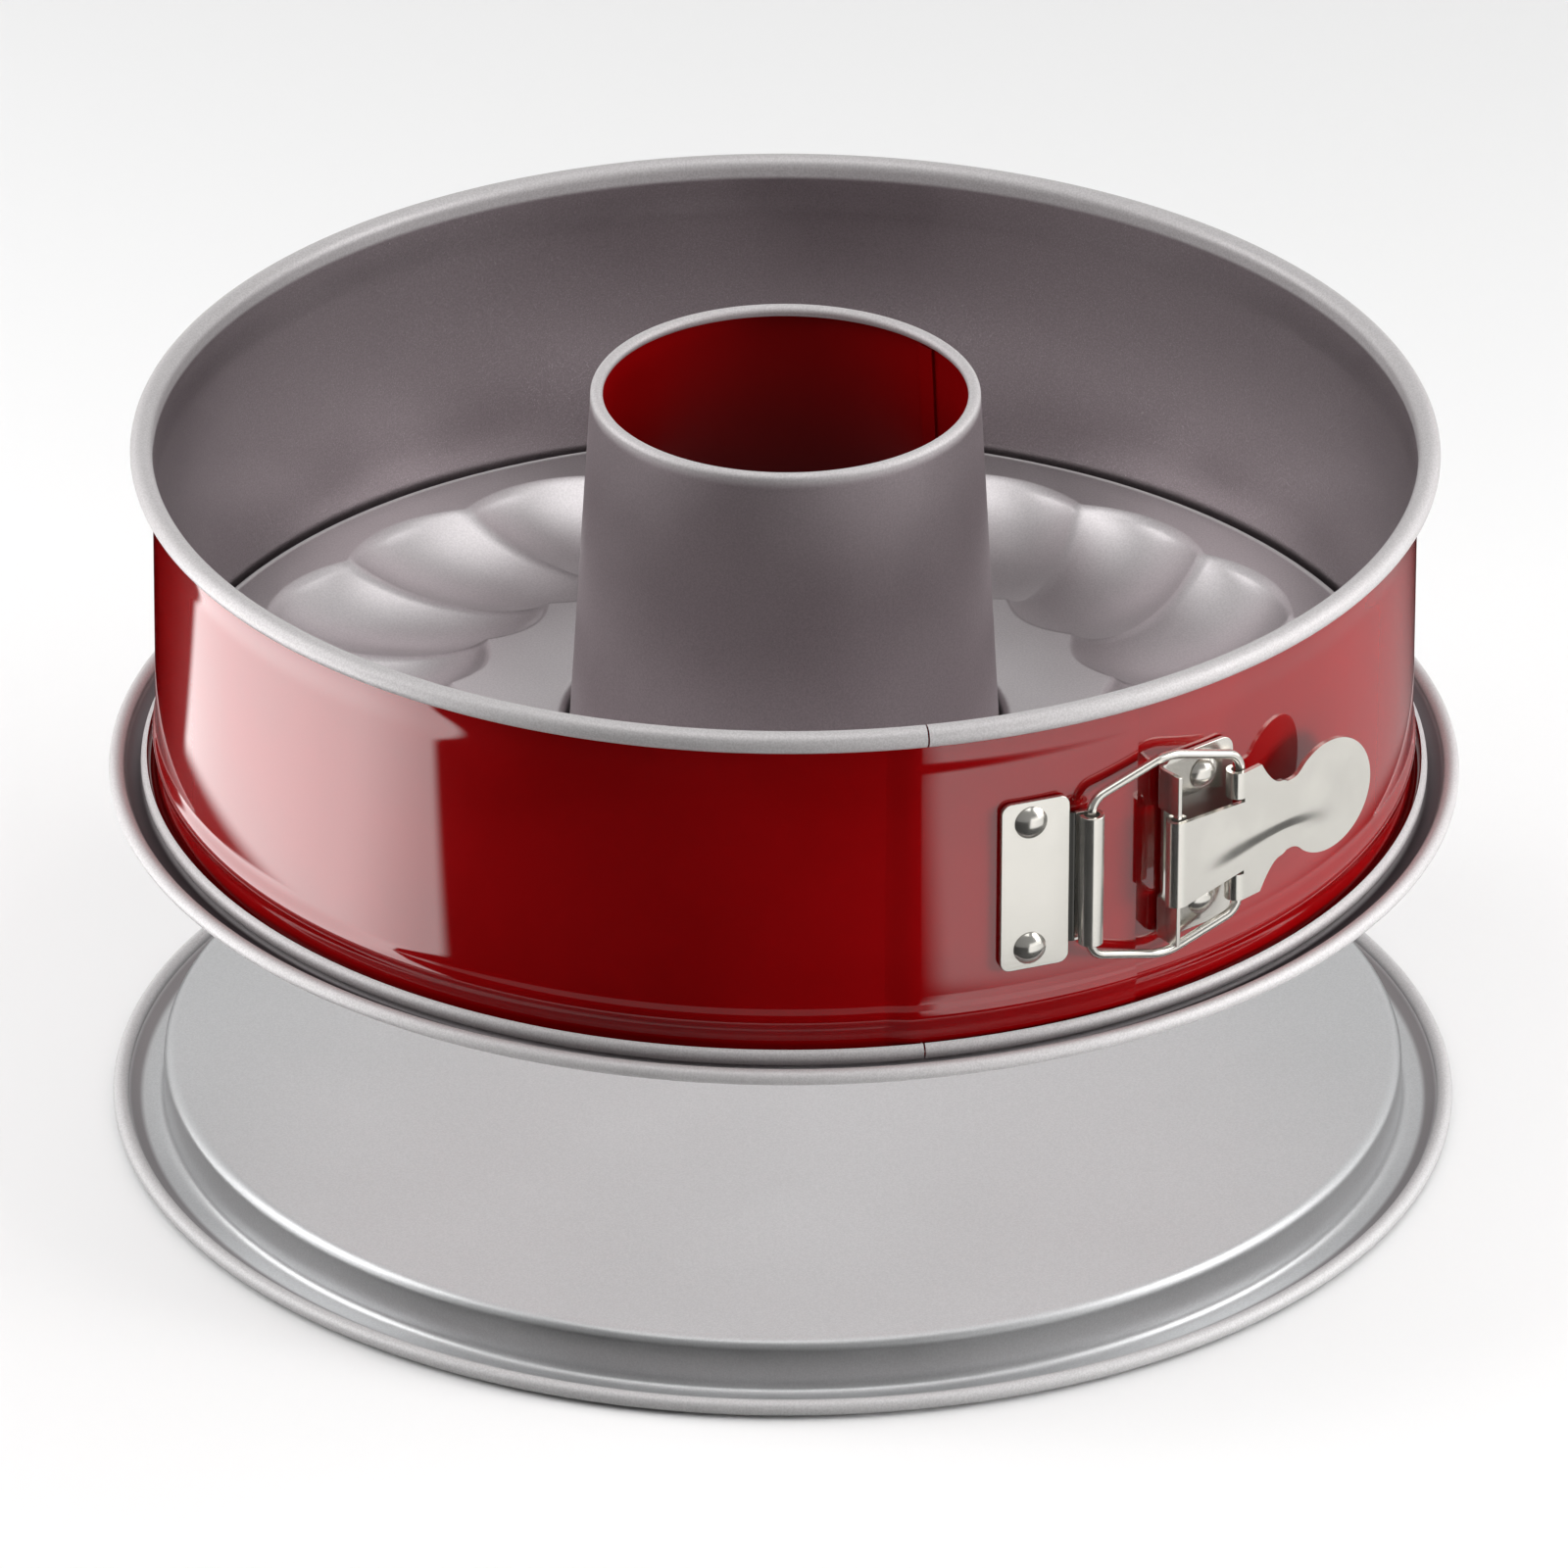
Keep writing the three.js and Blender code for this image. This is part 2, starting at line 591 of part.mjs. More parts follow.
// Lever outline from its pivot: tapered tongue, shoulders, waist and thumb pad
function leverShape() {
  const padStart = Math.PI - radians(PAD_NECK);
  const meet = vec2(PAD_REACH + PAD_RADIUS * Math.cos(padStart), PAD_RADIUS * Math.sin(padStart));
  const shape = new THREE.Shape();
  shape.moveTo(0, -LEVER_TONGUE_HALF);
  shape.lineTo(EAR_DISTANCE, -LEVER_ROOT_HALF);
  shape.lineTo(EAR_DISTANCE, -SHOULDER_HALF);
  shape.lineTo(SHOULDER_REACH, -SHOULDER_HALF);
  shape.quadraticCurveTo(WAIST_REACH - NECK_EASE, -WAIST_HALF, WAIST_REACH, -WAIST_HALF);
  shape.quadraticCurveTo(meet.x - NECK_EASE, -WAIST_HALF, meet.x, -meet.y);
  shape.absarc(PAD_REACH, 0, PAD_RADIUS, -padStart, padStart);
  shape.quadraticCurveTo(meet.x - NECK_EASE, WAIST_HALF, WAIST_REACH, WAIST_HALF);
  shape.quadraticCurveTo(WAIST_REACH - NECK_EASE, WAIST_HALF, SHOULDER_REACH, SHOULDER_HALF);
  shape.lineTo(EAR_DISTANCE, SHOULDER_HALF);
  shape.lineTo(EAR_DISTANCE, LEVER_ROOT_HALF);
  shape.lineTo(0, LEVER_TONGUE_HALF);
  return shape;
}

function lever() {
  const frame = claspFrame(leverAzimuth);
  frame.position.x = pivot.x;
  frame.position.y = pivot.y;
  const flat = plate(leverShape(), CLASP_SHEET, PAD_ARC_STEPS).translate(0, -rollRadius + CLASP_SHEET, 0);
  const barrelRoll = arc(0, 0, rollRadius, -90, -90 - LEVER_TURN, KNUCKLE_STEPS);
  const barrelPath = [vec2(CLASP_SHEET, -rollRadius), ...barrelRoll];
  const barrel = strip(barrelPath, CLASP_SHEET, -LEVER_TONGUE_HALF, LEVER_TONGUE_HALF);
  const earRoll = arc(EAR_DISTANCE, 0, rollRadius, -90, -90 - EAR_TURN, EAR_STEPS);
  const earPath = [vec2(EAR_DISTANCE + CLASP_SHEET, -rollRadius), ...earRoll];
  const upperEar = strip(earPath, CLASP_SHEET, EAR_INNER, SHOULDER_HALF);
  const lowerEar = strip(earPath, CLASP_SHEET, -SHOULDER_HALF, -EAR_INNER);
  place(frame, 'lever', join(flat, barrel, upperEar, lowerEar, leverRib()), nickel());
}

// Raised rib from the tongue to the thumb pad, widest in the middle
function leverRib() {
  const reach = PAD_REACH - RIB_START;
  const profile = [vec2(0, 0)];
  for (let i = 1; i < RIB_STEPS; i++) {
    const along = i / RIB_STEPS;
    profile.push(vec2(RIB_WIDTH * Math.sqrt(Math.sin(Math.PI * along)), reach * along));
  }
  profile.push(vec2(0, reach));
  const rib = new THREE.LatheGeometry(profile, RIB_STEPS).rotateZ(-Math.PI / 2);
  rib.scale(1, RIB_HALF_DEPTH / RIB_WIDTH, 1);
  return rib.translate(RIB_START, -rollRadius - RIB_PROUD, 0);
}

// A point of a clasp frame seen from above
function planPoint(azimuth, x, y) {
  return vec2(x, y).rotateAround(vec2(0, 0), radians(azimuth));
}

// Wire run through corners with a bend at each one
function bentWire(corners) {
  const run = new THREE.CurvePath();
  let from = corners[0];
  for (let i = 1; i < corners.length - 1; i++) {
    const corner = corners[i];
    const enter = corners[i - 1].clone().sub(corner).setLength(BAIL_CORNER).add(corner);
    const leave = corners[i + 1].clone().sub(corner).setLength(BAIL_CORNER).add(corner);
    run.add(new THREE.LineCurve3(from, enter));
    run.add(new THREE.QuadraticBezierCurve3(enter, corner, leave));
    from = leave;
  }
  run.add(new THREE.LineCurve3(from, corners.at(-1)));
  return run;
}

// The bail's bar turns in the knuckle and its two ends turn in the lever's ears
function bail() {
  const bar = planPoint(HOOK_AZIMUTH, KNUCKLE_REACH, -knuckleDepth);
  const pin = planPoint(leverAzimuth, EAR_DISTANCE + BAIL_SLACK, 0).add(pivot);
  const reach = bar.distanceTo(pin);
  const lower = [
    new THREE.Vector3(reach, 0, -BAIL_PIN_END),
    new THREE.Vector3(reach, 0, -BAIL_SHOULDER_HALF),
    new THREE.Vector3(BAIL_BEND_REACH, 0, -BAIL_BEND_HALF),
    new THREE.Vector3(0, 0, -BAIL_BAR_HALF),
  ];
  const upper = lower.map((point) => new THREE.Vector3(point.x, 0, -point.z)).reverse();
  const extrudePath = bentWire([...lower, ...upper]);
  const section = new THREE.Shape(arc(0, 0, WIRE_RADIUS, 0, 360, WIRE_SIDES).slice(1));
  const geometry = new THREE.ExtrudeGeometry(section, { steps: BAIL_STEPS, extrudePath });
  const mesh = place(mould, 'bail', geometry, nickel());
  mesh.position.set(bar.x, bar.y, MOULD_LIFT + CLASP_HEIGHT);
  mesh.rotation.z = pin.sub(bar).angle();
}

flatBase();
savarinBase();
chimneyTube();
ringBand();
hookPlate();
leverBracket();
lever();
bail();

export default mould;
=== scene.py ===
import json
import math

import bmesh
import bpy
from mathutils import Matrix, Vector


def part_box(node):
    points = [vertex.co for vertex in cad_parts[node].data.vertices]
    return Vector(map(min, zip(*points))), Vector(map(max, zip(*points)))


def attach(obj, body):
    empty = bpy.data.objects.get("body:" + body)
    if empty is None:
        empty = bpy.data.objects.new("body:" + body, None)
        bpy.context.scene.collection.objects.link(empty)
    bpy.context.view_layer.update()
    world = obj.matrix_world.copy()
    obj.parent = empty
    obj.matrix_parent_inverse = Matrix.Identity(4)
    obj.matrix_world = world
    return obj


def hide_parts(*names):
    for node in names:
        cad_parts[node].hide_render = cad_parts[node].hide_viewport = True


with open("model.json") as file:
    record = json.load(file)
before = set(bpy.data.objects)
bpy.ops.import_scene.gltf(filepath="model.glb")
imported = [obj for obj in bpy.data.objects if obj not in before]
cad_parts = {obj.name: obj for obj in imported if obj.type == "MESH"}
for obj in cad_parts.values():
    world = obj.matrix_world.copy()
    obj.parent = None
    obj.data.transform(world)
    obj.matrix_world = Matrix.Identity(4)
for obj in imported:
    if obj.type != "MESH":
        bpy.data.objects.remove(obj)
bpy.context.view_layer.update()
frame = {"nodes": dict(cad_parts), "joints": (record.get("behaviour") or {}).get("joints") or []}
print("frame loaded,", len(frame["nodes"]), "CAD nodes")

mm = 0.001  # pieces are drawn in millimetres and scaled once, when they are made


def nodeBox(node):  # a CAD node's two corners, in millimetres
    low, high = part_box(node)
    return Vector(low) / mm, Vector(high) / mm


def jointPoint(name):  # a hinge's point, in millimetres
    joint = next(joint for joint in frame["joints"] if joint["name"] == name)
    return Vector(joint["pos_m"]) / mm


def heading(azimuth):  # azimuth counts from the front towards +X
    return Vector((math.sin(math.radians(azimuth)), -math.cos(math.radians(azimuth)), 0))


def easeIn(value, low, high):  # 0 up to low, 1 from high on, and a soft step between
    share = min(max((value - low) / (high - low), 0), 1)
    return share * share * (3 - 2 * share)


mouldFoot = nodeBox("savarin_base")[0].z

# Camera at the photograph's angle: far away with a long lens, and a hair of roll
view = {"distance": 4.0, "elevation": 27.652, "roll": 0.2315, "aimHeight": 0.0725, "sensor": 36,
        "focalShare": 12.25, "farClip": 50}


def addCamera():
    lens = bpy.data.cameras.new("photoCamera")
    lens.sensor_width = view["sensor"]
    lens.lens = view["sensor"] * view["focalShare"]
    lens.clip_end = view["farClip"]
    camera = bpy.data.objects.new("photoCamera", lens)
    bpy.context.collection.objects.link(camera)
    tilt = Matrix.Rotation(math.radians(90 - view["elevation"]), 4, "X")
    roll = Matrix.Rotation(math.radians(view["roll"]), 4, "Z")
    aim = Matrix.Translation((0, 0, view["aimHeight"]))
    back = Matrix.Translation((0, 0, view["distance"]))
    camera.matrix_world = aim @ tilt @ roll @ back
    bpy.context.scene.camera = camera


addCamera()
print("camera set")


# Shader sums: a wrapped socket turns Python operators into Math nodes
class Value:
    def __init__(self, graph, socket):
        self.graph = graph
        self.socket = socket

    def maths(self, operation, other, swapped=False):
        pair = (other, self) if swapped else (self, other)
        return self.graph.add("ShaderNodeMath", {"operation": operation}, {0: pair[0], 1: pair[1]})

    def __add__(self, other):
        return self.maths("ADD", other)

    def __sub__(self, other):
        return self.maths("SUBTRACT", other)

    def __rsub__(self, other):
        return self.maths("SUBTRACT", other, True)

    def __mul__(self, other):
        return self.maths("MULTIPLY", other)

    def __truediv__(self, other):
        return self.maths("DIVIDE", other)

    __radd__ = __add__
    __rmul__ = __mul__


class Graph:
    def __init__(self, tree):
        self.tree = tree

    def add(self, kind, settings=None, inputs=None, out=0):
        node = self.tree.nodes.new(kind)
        for key, value in (settings or {}).items():
            setattr(node, key, value)
        for key, value in (inputs or {}).items():
            if isinstance(value, Value):
                self.tree.links.new(value.socket, node.inputs[key])
            else:
                node.inputs[key].default_value = value
        return Value(self, node.outputs[out])

    def coords(self):
        return self.add("ShaderNodeTexCoord", out="Object")

    def split(self, vector):  # its X, Y and Z
        first = self.add("ShaderNodeSeparateXYZ", None, {0: vector})
        return [Value(self, output) for output in first.socket.node.outputs]

    def length(self, vector):
        return self.add("ShaderNodeVectorMath", {"operation": "LENGTH"}, {0: vector}, "Value")

    def height(self):  # in millimetres
        return self.split(self.coords())[2] / mm

    def noise(self, scale, detail, vector=None):
        inputs = {"Vector": vector or self.coords(), "Scale": scale, "Detail": detail}
        return self.add("ShaderNodeTexNoise", None, inputs, "Fac")

    def blend(self, factor, first, second):
        inputs = {"Factor": factor, 6: first, 7: second}
        return self.add("ShaderNodeMix", {"data_type": "RGBA"}, inputs, 2)

    def smooth(self, value, low, high):
        inputs = {"Value": value, 1: low, 2: high, 3: 0.0, 4: 1.0}
        return self.add("ShaderNodeMapRange", {"interpolation_type": "SMOOTHSTEP"}, inputs)

    def bump(self, height, strength, distance):
        inputs = {"Height": height, "Strength": strength, "Distance": distance}
        return self.add("ShaderNodeBump", None, inputs)


def newMaterial(name, plain):
    material = bpy.data.materials.new(name)
    material.use_nodes = True
    shader = material.node_tree.nodes["Principled BSDF"]
    for key, value in plain.items():
        shader.inputs[key].default_value = value
    graph = Graph(material.node_tree)

    def feed(**links):
        for key, value in links.items():
            material.node_tree.links.new(value.socket, shader.inputs[key.replace("_", " ")])

    return material, graph, feed


# Red paint: glossy on the wall, satin inside the tube, dull under the bases
enamel = {"dark": (0.196, 0.0004, 0.0011), "pale": (0.222, 0.0006, 0.0015), "speck": (0.27, 0.003, 0.005),
          "paintedShade": (0.02, 0.0002, 0.0004, 1), "paintedShadeShare": 0.75, "cloudScale": 28, "cloudSpan": (0.35, 0.65),
          "speckScale": 2600, "speckSpan": (0.62, 0.78), "speckShare": 0.25, "peelScale": 520,
          "peelStrength": 0.03, "peelDepth": 0.0002, "roughness": 0.34, "roughSpread": 0.05,
          "coatRoughness": 0.04, "coatIndex": 1.8, "specular": 0.1, "coatedSpecular": 0.02,
          "coatedMetallic": 0.1}


def redEnamel(name, coat, strength=1.0, paintedShadeHeights=None):
    plain = {"Coat Weight": coat, "Coat Roughness": enamel["coatRoughness"], "Coat IOR": enamel["coatIndex"],
             "Specular IOR Level": enamel["coatedSpecular"] if coat else enamel["specular"],
             "Metallic": enamel["coatedMetallic"] * coat}
    material, graph, feed = newMaterial(name, plain)

    def shade(key):
        red, green, blue = enamel[key]
        return red * strength, green, blue, 1

    cloud = graph.smooth(graph.noise(enamel["cloudScale"], 3), *enamel["cloudSpan"])
    speck = graph.smooth(graph.noise(enamel["speckScale"], 1), *enamel["speckSpan"])
    colour = graph.blend(cloud, shade("dark"), shade("pale"))
    colour = graph.blend(enamel["speckShare"] * speck, colour, shade("speck"))
    if paintedShadeHeights:  # painted shade, darker towards the foot, between two heights
        paintedShade = enamel["paintedShadeShare"] * (1 - graph.smooth(graph.height(), *paintedShadeHeights))
        colour = graph.blend(paintedShade, colour, enamel["paintedShade"])
    peel = graph.noise(enamel["peelScale"], 2)
    feed(Base_Color=colour, Roughness=enamel["roughness"] + enamel["roughSpread"] * cloud,
         Normal=graph.bump(peel, enamel["peelStrength"], enamel["peelDepth"]))
    return material


# Grey coating: fine flakes on the sheet, matt rolled edges painted pale as a sheen, a painted highlight on
# the plate's edge, and painted shade along a gutter
coating = {"flake": (0.82, 0.80, 0.80, 1), "flakeScale": 4200, "flakeSpan": (0.58, 0.72), "flakeShare": 0.18,
           "flakeGloss": 0.1, "cloudScale": 22, "cloudSpan": (0.3, 0.7), "cloudShare": 0.35,
           "cloudRough": 0.08, "grainScale": 2400, "grainSpan": (0.3, 0.7), "grainStrength": 0.12,
           "grainDepth": 0.00015, "paintedSheenDark": (0.51, 0.495, 0.495, 1), "paintedSheenPale": (0.62, 0.605, 0.605, 1),
           "paintedSheenScale": 2600, "paintedSheenSpan": (0.35, 0.65), "paintedSheenShare": 0.8, "edge": (0.92, 0.90, 0.90, 1),
           "edgeShare": 0.8, "metallic": 0.9, "mattLoss": 0.48, "mattRough": 0.16, "index": 1.5}


def paintedSheenRolls(graph, colour, paintedSheen, rolls):  # the rolled edges are more matt than the sheet between, and painted paler as a sheen
    height = graph.height()
    matt = graph.smooth(height, *rolls["rim"])
    if "foot" in rolls:
        matt = matt + 1 - graph.smooth(height, *rolls["foot"])
    return graph.blend(coating["paintedSheenShare"] * matt, colour, paintedSheen), matt


def paintedGutterShade(graph, colour, paintedSheen, gutter):  # fades are pairs of radii, and one pair of heights
    flat = graph.add("ShaderNodeVectorMath", {"operation": "MULTIPLY"}, {0: graph.coords(), 1: (1, 1, 0)})
    radius = graph.length(flat) / mm
    # painted shade darkens the gutter's trough, and the rolled rim gets the painted sheen colour
    rim = graph.smooth(radius, *gutter["rim"])
    troughShade = graph.smooth(radius, *gutter["troughShade"]) * (1 - rim)
    matt = graph.smooth(radius, *gutter["matt"]) * (1 - troughShade)
    colour = graph.blend(troughShade, graph.blend(coating["paintedSheenShare"] * rim, colour, paintedSheen), gutter["colour"])
    if "edge" in gutter:  # the plate's rounded edge is painted pale, a painted highlight
        edge = graph.smooth(radius, *gutter["edge"]) * graph.smooth(graph.height(), *gutter["edgeHeights"])
        colour = graph.blend(coating["edgeShare"] * edge, colour, coating["edge"])
    return colour, matt


def greyCoating(name, dark, pale, roughness, rolls=None, gutter=None):
    material, graph, feed = newMaterial(name, {"IOR": coating["index"]})
    grain = graph.noise(coating["grainScale"], 2)
    flake = graph.smooth(graph.noise(coating["flakeScale"], 1), *coating["flakeSpan"])
    cloud = graph.smooth(graph.noise(coating["cloudScale"], 3), *coating["cloudSpan"])
    cloudShare = coating["cloudShare"]
    mottle = cloudShare * cloud + (1 - cloudShare) * graph.smooth(grain, *coating["grainSpan"])
    colour = graph.blend(mottle, dark, pale)
    colour = graph.blend(coating["flakeShare"] * flake, colour, coating["flake"])
    rough = roughness + coating["cloudRough"] * cloud - coating["flakeGloss"] * flake
    # the mottled pale colour that is painted on rolled edges as a sheen
    paintedSheenMottle = graph.smooth(graph.noise(coating["paintedSheenScale"], 2), *coating["paintedSheenSpan"])
    paintedSheen = graph.blend(paintedSheenMottle, coating["paintedSheenDark"], coating["paintedSheenPale"])
    if rolls:
        colour, matt = paintedSheenRolls(graph, colour, paintedSheen, rolls)
    else:
        colour, matt = paintedGutterShade(graph, colour, paintedSheen, gutter)
    feed(Base_Color=colour, Metallic=coating["metallic"] - coating["mattLoss"] * matt,
         Roughness=rough + coating["mattRough"] * matt,
         Normal=graph.bump(grain, coating["grainStrength"], coating["grainDepth"]))
    return material


# Nickel of the clasp, with faint rolling lines along its sheet
plating = {"dark": (0.72, 0.697, 0.645), "pale": (0.78, 0.755, 0.70), "metallic": 0.9, "stretch": (1, 1, 14),
           "rolledScale": 260, "rolledStrength": 0.03, "rolledDepth": 0.0001, "rolledRough": 0.04,
           "cloudScale": 90, "cloudSpan": (0.3, 0.7), "cloudRough": 0.05, "roughness": 0.15}


def polishedNickel(name, shine):
    material, graph, feed = newMaterial(name, {"Metallic": plating["metallic"]})

    def shade(key):
        red, green, blue = plating[key]
        return red * shine, green * shine, blue * shine, 1

    mapping = {"Vector": graph.coords(), "Scale": plating["stretch"]}
    rolled = graph.noise(plating["rolledScale"], 3, graph.add("ShaderNodeMapping", None, mapping))
    cloud = graph.smooth(graph.noise(plating["cloudScale"], 3), *plating["cloudSpan"])
    rough = plating["roughness"] + plating["cloudRough"] * cloud + plating["rolledRough"] * rolled
    feed(Base_Color=graph.blend(cloud, shade("dark"), shade("pale")), Roughness=rough,
         Normal=graph.bump(rolled, plating["rolledStrength"], plating["rolledDepth"]))
    return material


wallRed = redEnamel("wallRed", 1.0)
# inside the tube the red gets painted shade towards its foot
tubeRed = redEnamel("tubeRed", 0.0, 1.3, (mouldFoot + 38.5, mouldFoot + 78.5))
underRed = redEnamel("underRed", 0.0, 0.5)
# heights of the rolled rim and foot, where the coat is matt and painted pale as a sheen
wallRolls = {"rim": (mouldFoot + 72.4, mouldFoot + 73.6), "foot": (mouldFoot + 5.3, mouldFoot + 6.5)}
wallGrey = greyCoating("wallGrey", (0.27, 0.235, 0.246, 1), (0.345, 0.301, 0.315, 1), 0.33, wallRolls)
# height of the tube's rolled rim, matt and painted pale as a sheen
tubeRolls = {"rim": (mouldFoot + 84.7, mouldFoot + 87.5)}
tubeGrey = greyCoating("tubeGrey", (0.42, 0.370, 0.386, 1), (0.53, 0.466, 0.488, 1), 0.36, tubeRolls)
mouldPlate = nodeBox("savarin_base")[1].z
# savarin base: painted shade in the trough, painted sheen on the rolled rim, a painted highlight on the
# plate's edge, and a matt band
baseGutter = {"colour": (0.13, 0.105, 0.112, 1), "troughShade": (132.8, 134.2), "rim": (136.5, 137.7),
              "matt": (127.4, 128.4), "edge": (127.4, 128.2),
              "edgeHeights": (mouldPlate - 2.0, mouldPlate - 1.2)}
baseGrey = greyCoating("baseGrey", (0.61, 0.578, 0.588, 1), (0.73, 0.695, 0.706, 1), 0.38, gutter=baseGutter)
# flat base: painted shade in the trough, painted sheen on the rolled rim, and a matt band
flatGutter = {"colour": (0.27, 0.25, 0.255, 1), "troughShade": (133.8, 135.2), "rim": (136.5, 137.7),
              "matt": (136.0, 137.0)}
flatGrey = greyCoating("flatGrey", (0.54, 0.544, 0.550, 1), (0.62, 0.625, 0.632, 1), 0.38, gutter=flatGutter)
nickel = polishedNickel("polishedNickel", 1.0)
foldShadeNickel = polishedNickel("foldShadeNickel", 0.12)  # painted shade: a dark copy of the nickel where the knuckle folds away from its plate
print("materials ready")


# Mesh tools
def roundCorners(bm, verts, radius):
    bmesh.ops.bevel(
        bm, geom=verts, offset=radius, offset_type="OFFSET", segments=6, profile=0.5,
        affect="VERTICES", material=-1,
    )


class Wire:
    # drawn in the XZ plane: x is a radius or a length, z a height
    def __init__(self, x, z):
        self.bm = bmesh.new()
        self.tip = self.bm.verts.new((x, 0, z))
        self.corners = []

    def line(self, x, z, rounded=0, steps=1):
        start = self.tip.co.copy()
        for step in range(1, steps + 1):
            self.tip = bmesh.ops.extrude_vert_indiv(self.bm, verts=[self.tip])["verts"][0]
            self.tip.co = start.lerp((x, 0, z), step / steps)
        if rounded:
            self.corners.append((self.tip, rounded))
        return self

    def bend(self, x, z, degrees, steps):  # round a centre, clockwise when positive
        swept = bmesh.ops.spin(
            self.bm, geom=[self.tip], cent=(x, 0, z), axis=(0, 1, 0), angle=math.radians(degrees), steps=steps
        )
        self.tip = next(part for part in swept["geom_last"] if isinstance(part, bmesh.types.BMVert))
        return self

    def mesh(self):
        for vert, radius in self.corners:
            roundCorners(self.bm, [vert], radius)
        return self.bm


def revolve(bm, steps, fromAzimuth=90, degrees=360):
    turn = Matrix.Rotation(math.radians(fromAzimuth - 90), 3, "Z")
    bmesh.ops.rotate(bm, verts=bm.verts, cent=(0, 0, 0), matrix=turn)
    bmesh.ops.spin(
        bm, geom=bm.verts[:] + bm.edges[:], cent=(0, 0, 0), axis=(0, 0, 1), angle=math.radians(degrees),
        steps=steps, use_merge=degrees == 360,
    )
    bmesh.ops.remove_doubles(bm, verts=bm.verts, dist=0.001)
    bmesh.ops.recalc_face_normals(bm, faces=bm.faces)
    return bm


def widen(bm, low, high):  # a wire pulled along Y into a strip
    pulled = bmesh.ops.extrude_edge_only(bm, edges=bm.edges[:])["geom"]
    moved = [part for part in pulled if isinstance(part, bmesh.types.BMVert)]
    bmesh.ops.translate(bm, verts=bm.verts, vec=(0, low, 0))
    bmesh.ops.translate(bm, verts=moved, vec=(0, high - low, 0))
    bmesh.ops.recalc_face_normals(bm, faces=bm.faces)
    return bm


def faceOut(bm, sample, direction):  # turns the whole sheet so that the face near a point looks that way
    bm.normal_update()
    nearest = min(bm.faces, key=lambda face: (face.calc_center_median() - Vector(sample)).length)
    if nearest.normal.dot(Vector(direction)) < 0:
        bmesh.ops.reverse_faces(bm, faces=bm.faces)
    return bm


def joined(*parts):
    bm = parts[0]
    for other in parts[1:]:
        carrier = bpy.data.meshes.new("carrier")
        other.to_mesh(carrier)
        other.free()
        bm.from_mesh(carrier)
        bpy.data.meshes.remove(carrier)
    return bm


def newObject(name, bm):
    mesh = bpy.data.meshes.new(name)
    bm.to_mesh(mesh)
    bm.free()
    made = bpy.data.objects.new(name, mesh)
    bpy.context.collection.objects.link(made)
    return made


def coatAndRide(piece, body, nodes, coats, sharp):
    for coat in coats:
        piece.data.materials.append(coat)
    piece.data.shade_smooth()
    piece.data.set_sharp_from_angle(angle=math.radians(sharp))
    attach(piece, body)
    if nodes:
        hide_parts(*nodes)


def addPiece(name, bm, body, nodes, coats, sheet=0, edge=0, sharp=40):
    bmesh.ops.scale(bm, vec=(mm, mm, mm), verts=bm.verts)
    piece = newObject(name, bm)
    if sheet:  # the first coat faces out, the last is on the sheet's other side and its cut edges
        wall = piece.modifiers.new("sheet", "SOLIDIFY")
        wall.thickness = sheet * mm
        wall.offset = -1
        wall.use_even_offset = True
        wall.material_offset = len(coats) - 1
        wall.material_offset_rim = len(coats) - 1
    if edge:
        rounding = piece.modifiers.new("edge", "BEVEL")
        rounding.width = edge * mm
        rounding.segments = 2
        rounding.limit_method = "ANGLE"
        rounding.angle_limit = math.radians(50)
        rounding.harden_normals = True
    coatAndRide(piece, body, nodes, coats, sharp)
    return piece


# Bases: plate, wall, gutter and rolled rim
baseRim = {"wallTop": 129.82, "wallFoot": 129.7, "edgeRound": 1.5, "flatRound": 2.6, "gutterRound": 1.9,
           "troughFrom": 132.2, "troughCurve": 2.2, "troughSteps": 10, "rollRadius": 1.65, "rollHeight": 1.95,
           "rollTurn": 290, "rollSteps": 20, "sheet": 0.6, "turns": 252, "platePoint": 60}


def drawRim(wire, plateHeight, rimRadius, edgeRound):
    rollCentre = rimRadius - baseRim["rollRadius"]
    floor = baseRim["sheet"]
    wire.line(baseRim["wallTop"], plateHeight, edgeRound)
    wire.line(baseRim["wallFoot"], floor, baseRim["gutterRound"])
    wire.line(baseRim["troughFrom"], floor)
    troughEnd = rollCentre - baseRim["rollRadius"]
    for step in range(1, baseRim["troughSteps"] + 1):  # the gutter's floor curves up into the roll
        share = step / baseRim["troughSteps"]
        rise = (baseRim["rollHeight"] - floor) * share ** baseRim["troughCurve"]
        wire.line(baseRim["troughFrom"] + (troughEnd - baseRim["troughFrom"]) * share, floor + rise)
    wire.bend(rollCentre, baseRim["rollHeight"], baseRim["rollTurn"], baseRim["rollSteps"])


def flatBase():
    high = nodeBox("flat_base")[1]
    wire = Wire(0, high.z)
    drawRim(wire, high.z, high.x, baseRim["flatRound"])
    bm = revolve(wire.mesh(), baseRim["turns"])
    faceOut(bm, (baseRim["platePoint"], 0, high.z), (0, 0, 1))
    coats = [flatGrey, underRed]
    addPiece("flatPan", bm, "flat_base", ["flat_base"], coats, baseRim["sheet"])


flutes = {"count": 21, "phase": 5.8, "lean": 8.5, "outerEdge": 115.5, "outerSwell": 4.0, "innerEdge": 71.0,
          "innerSwell": 4.5, "depth": 9.8, "ridgeDepth": 6.2, "bowl": 2.2, "softness": 0.85, "rings": 34,
          "turnsEach": 16, "border": 0.8, "borderPull": 1.1, "collar": 45.6, "collarFoot": 5.9,
          "collarRound": 2.0, "sharp": 60}


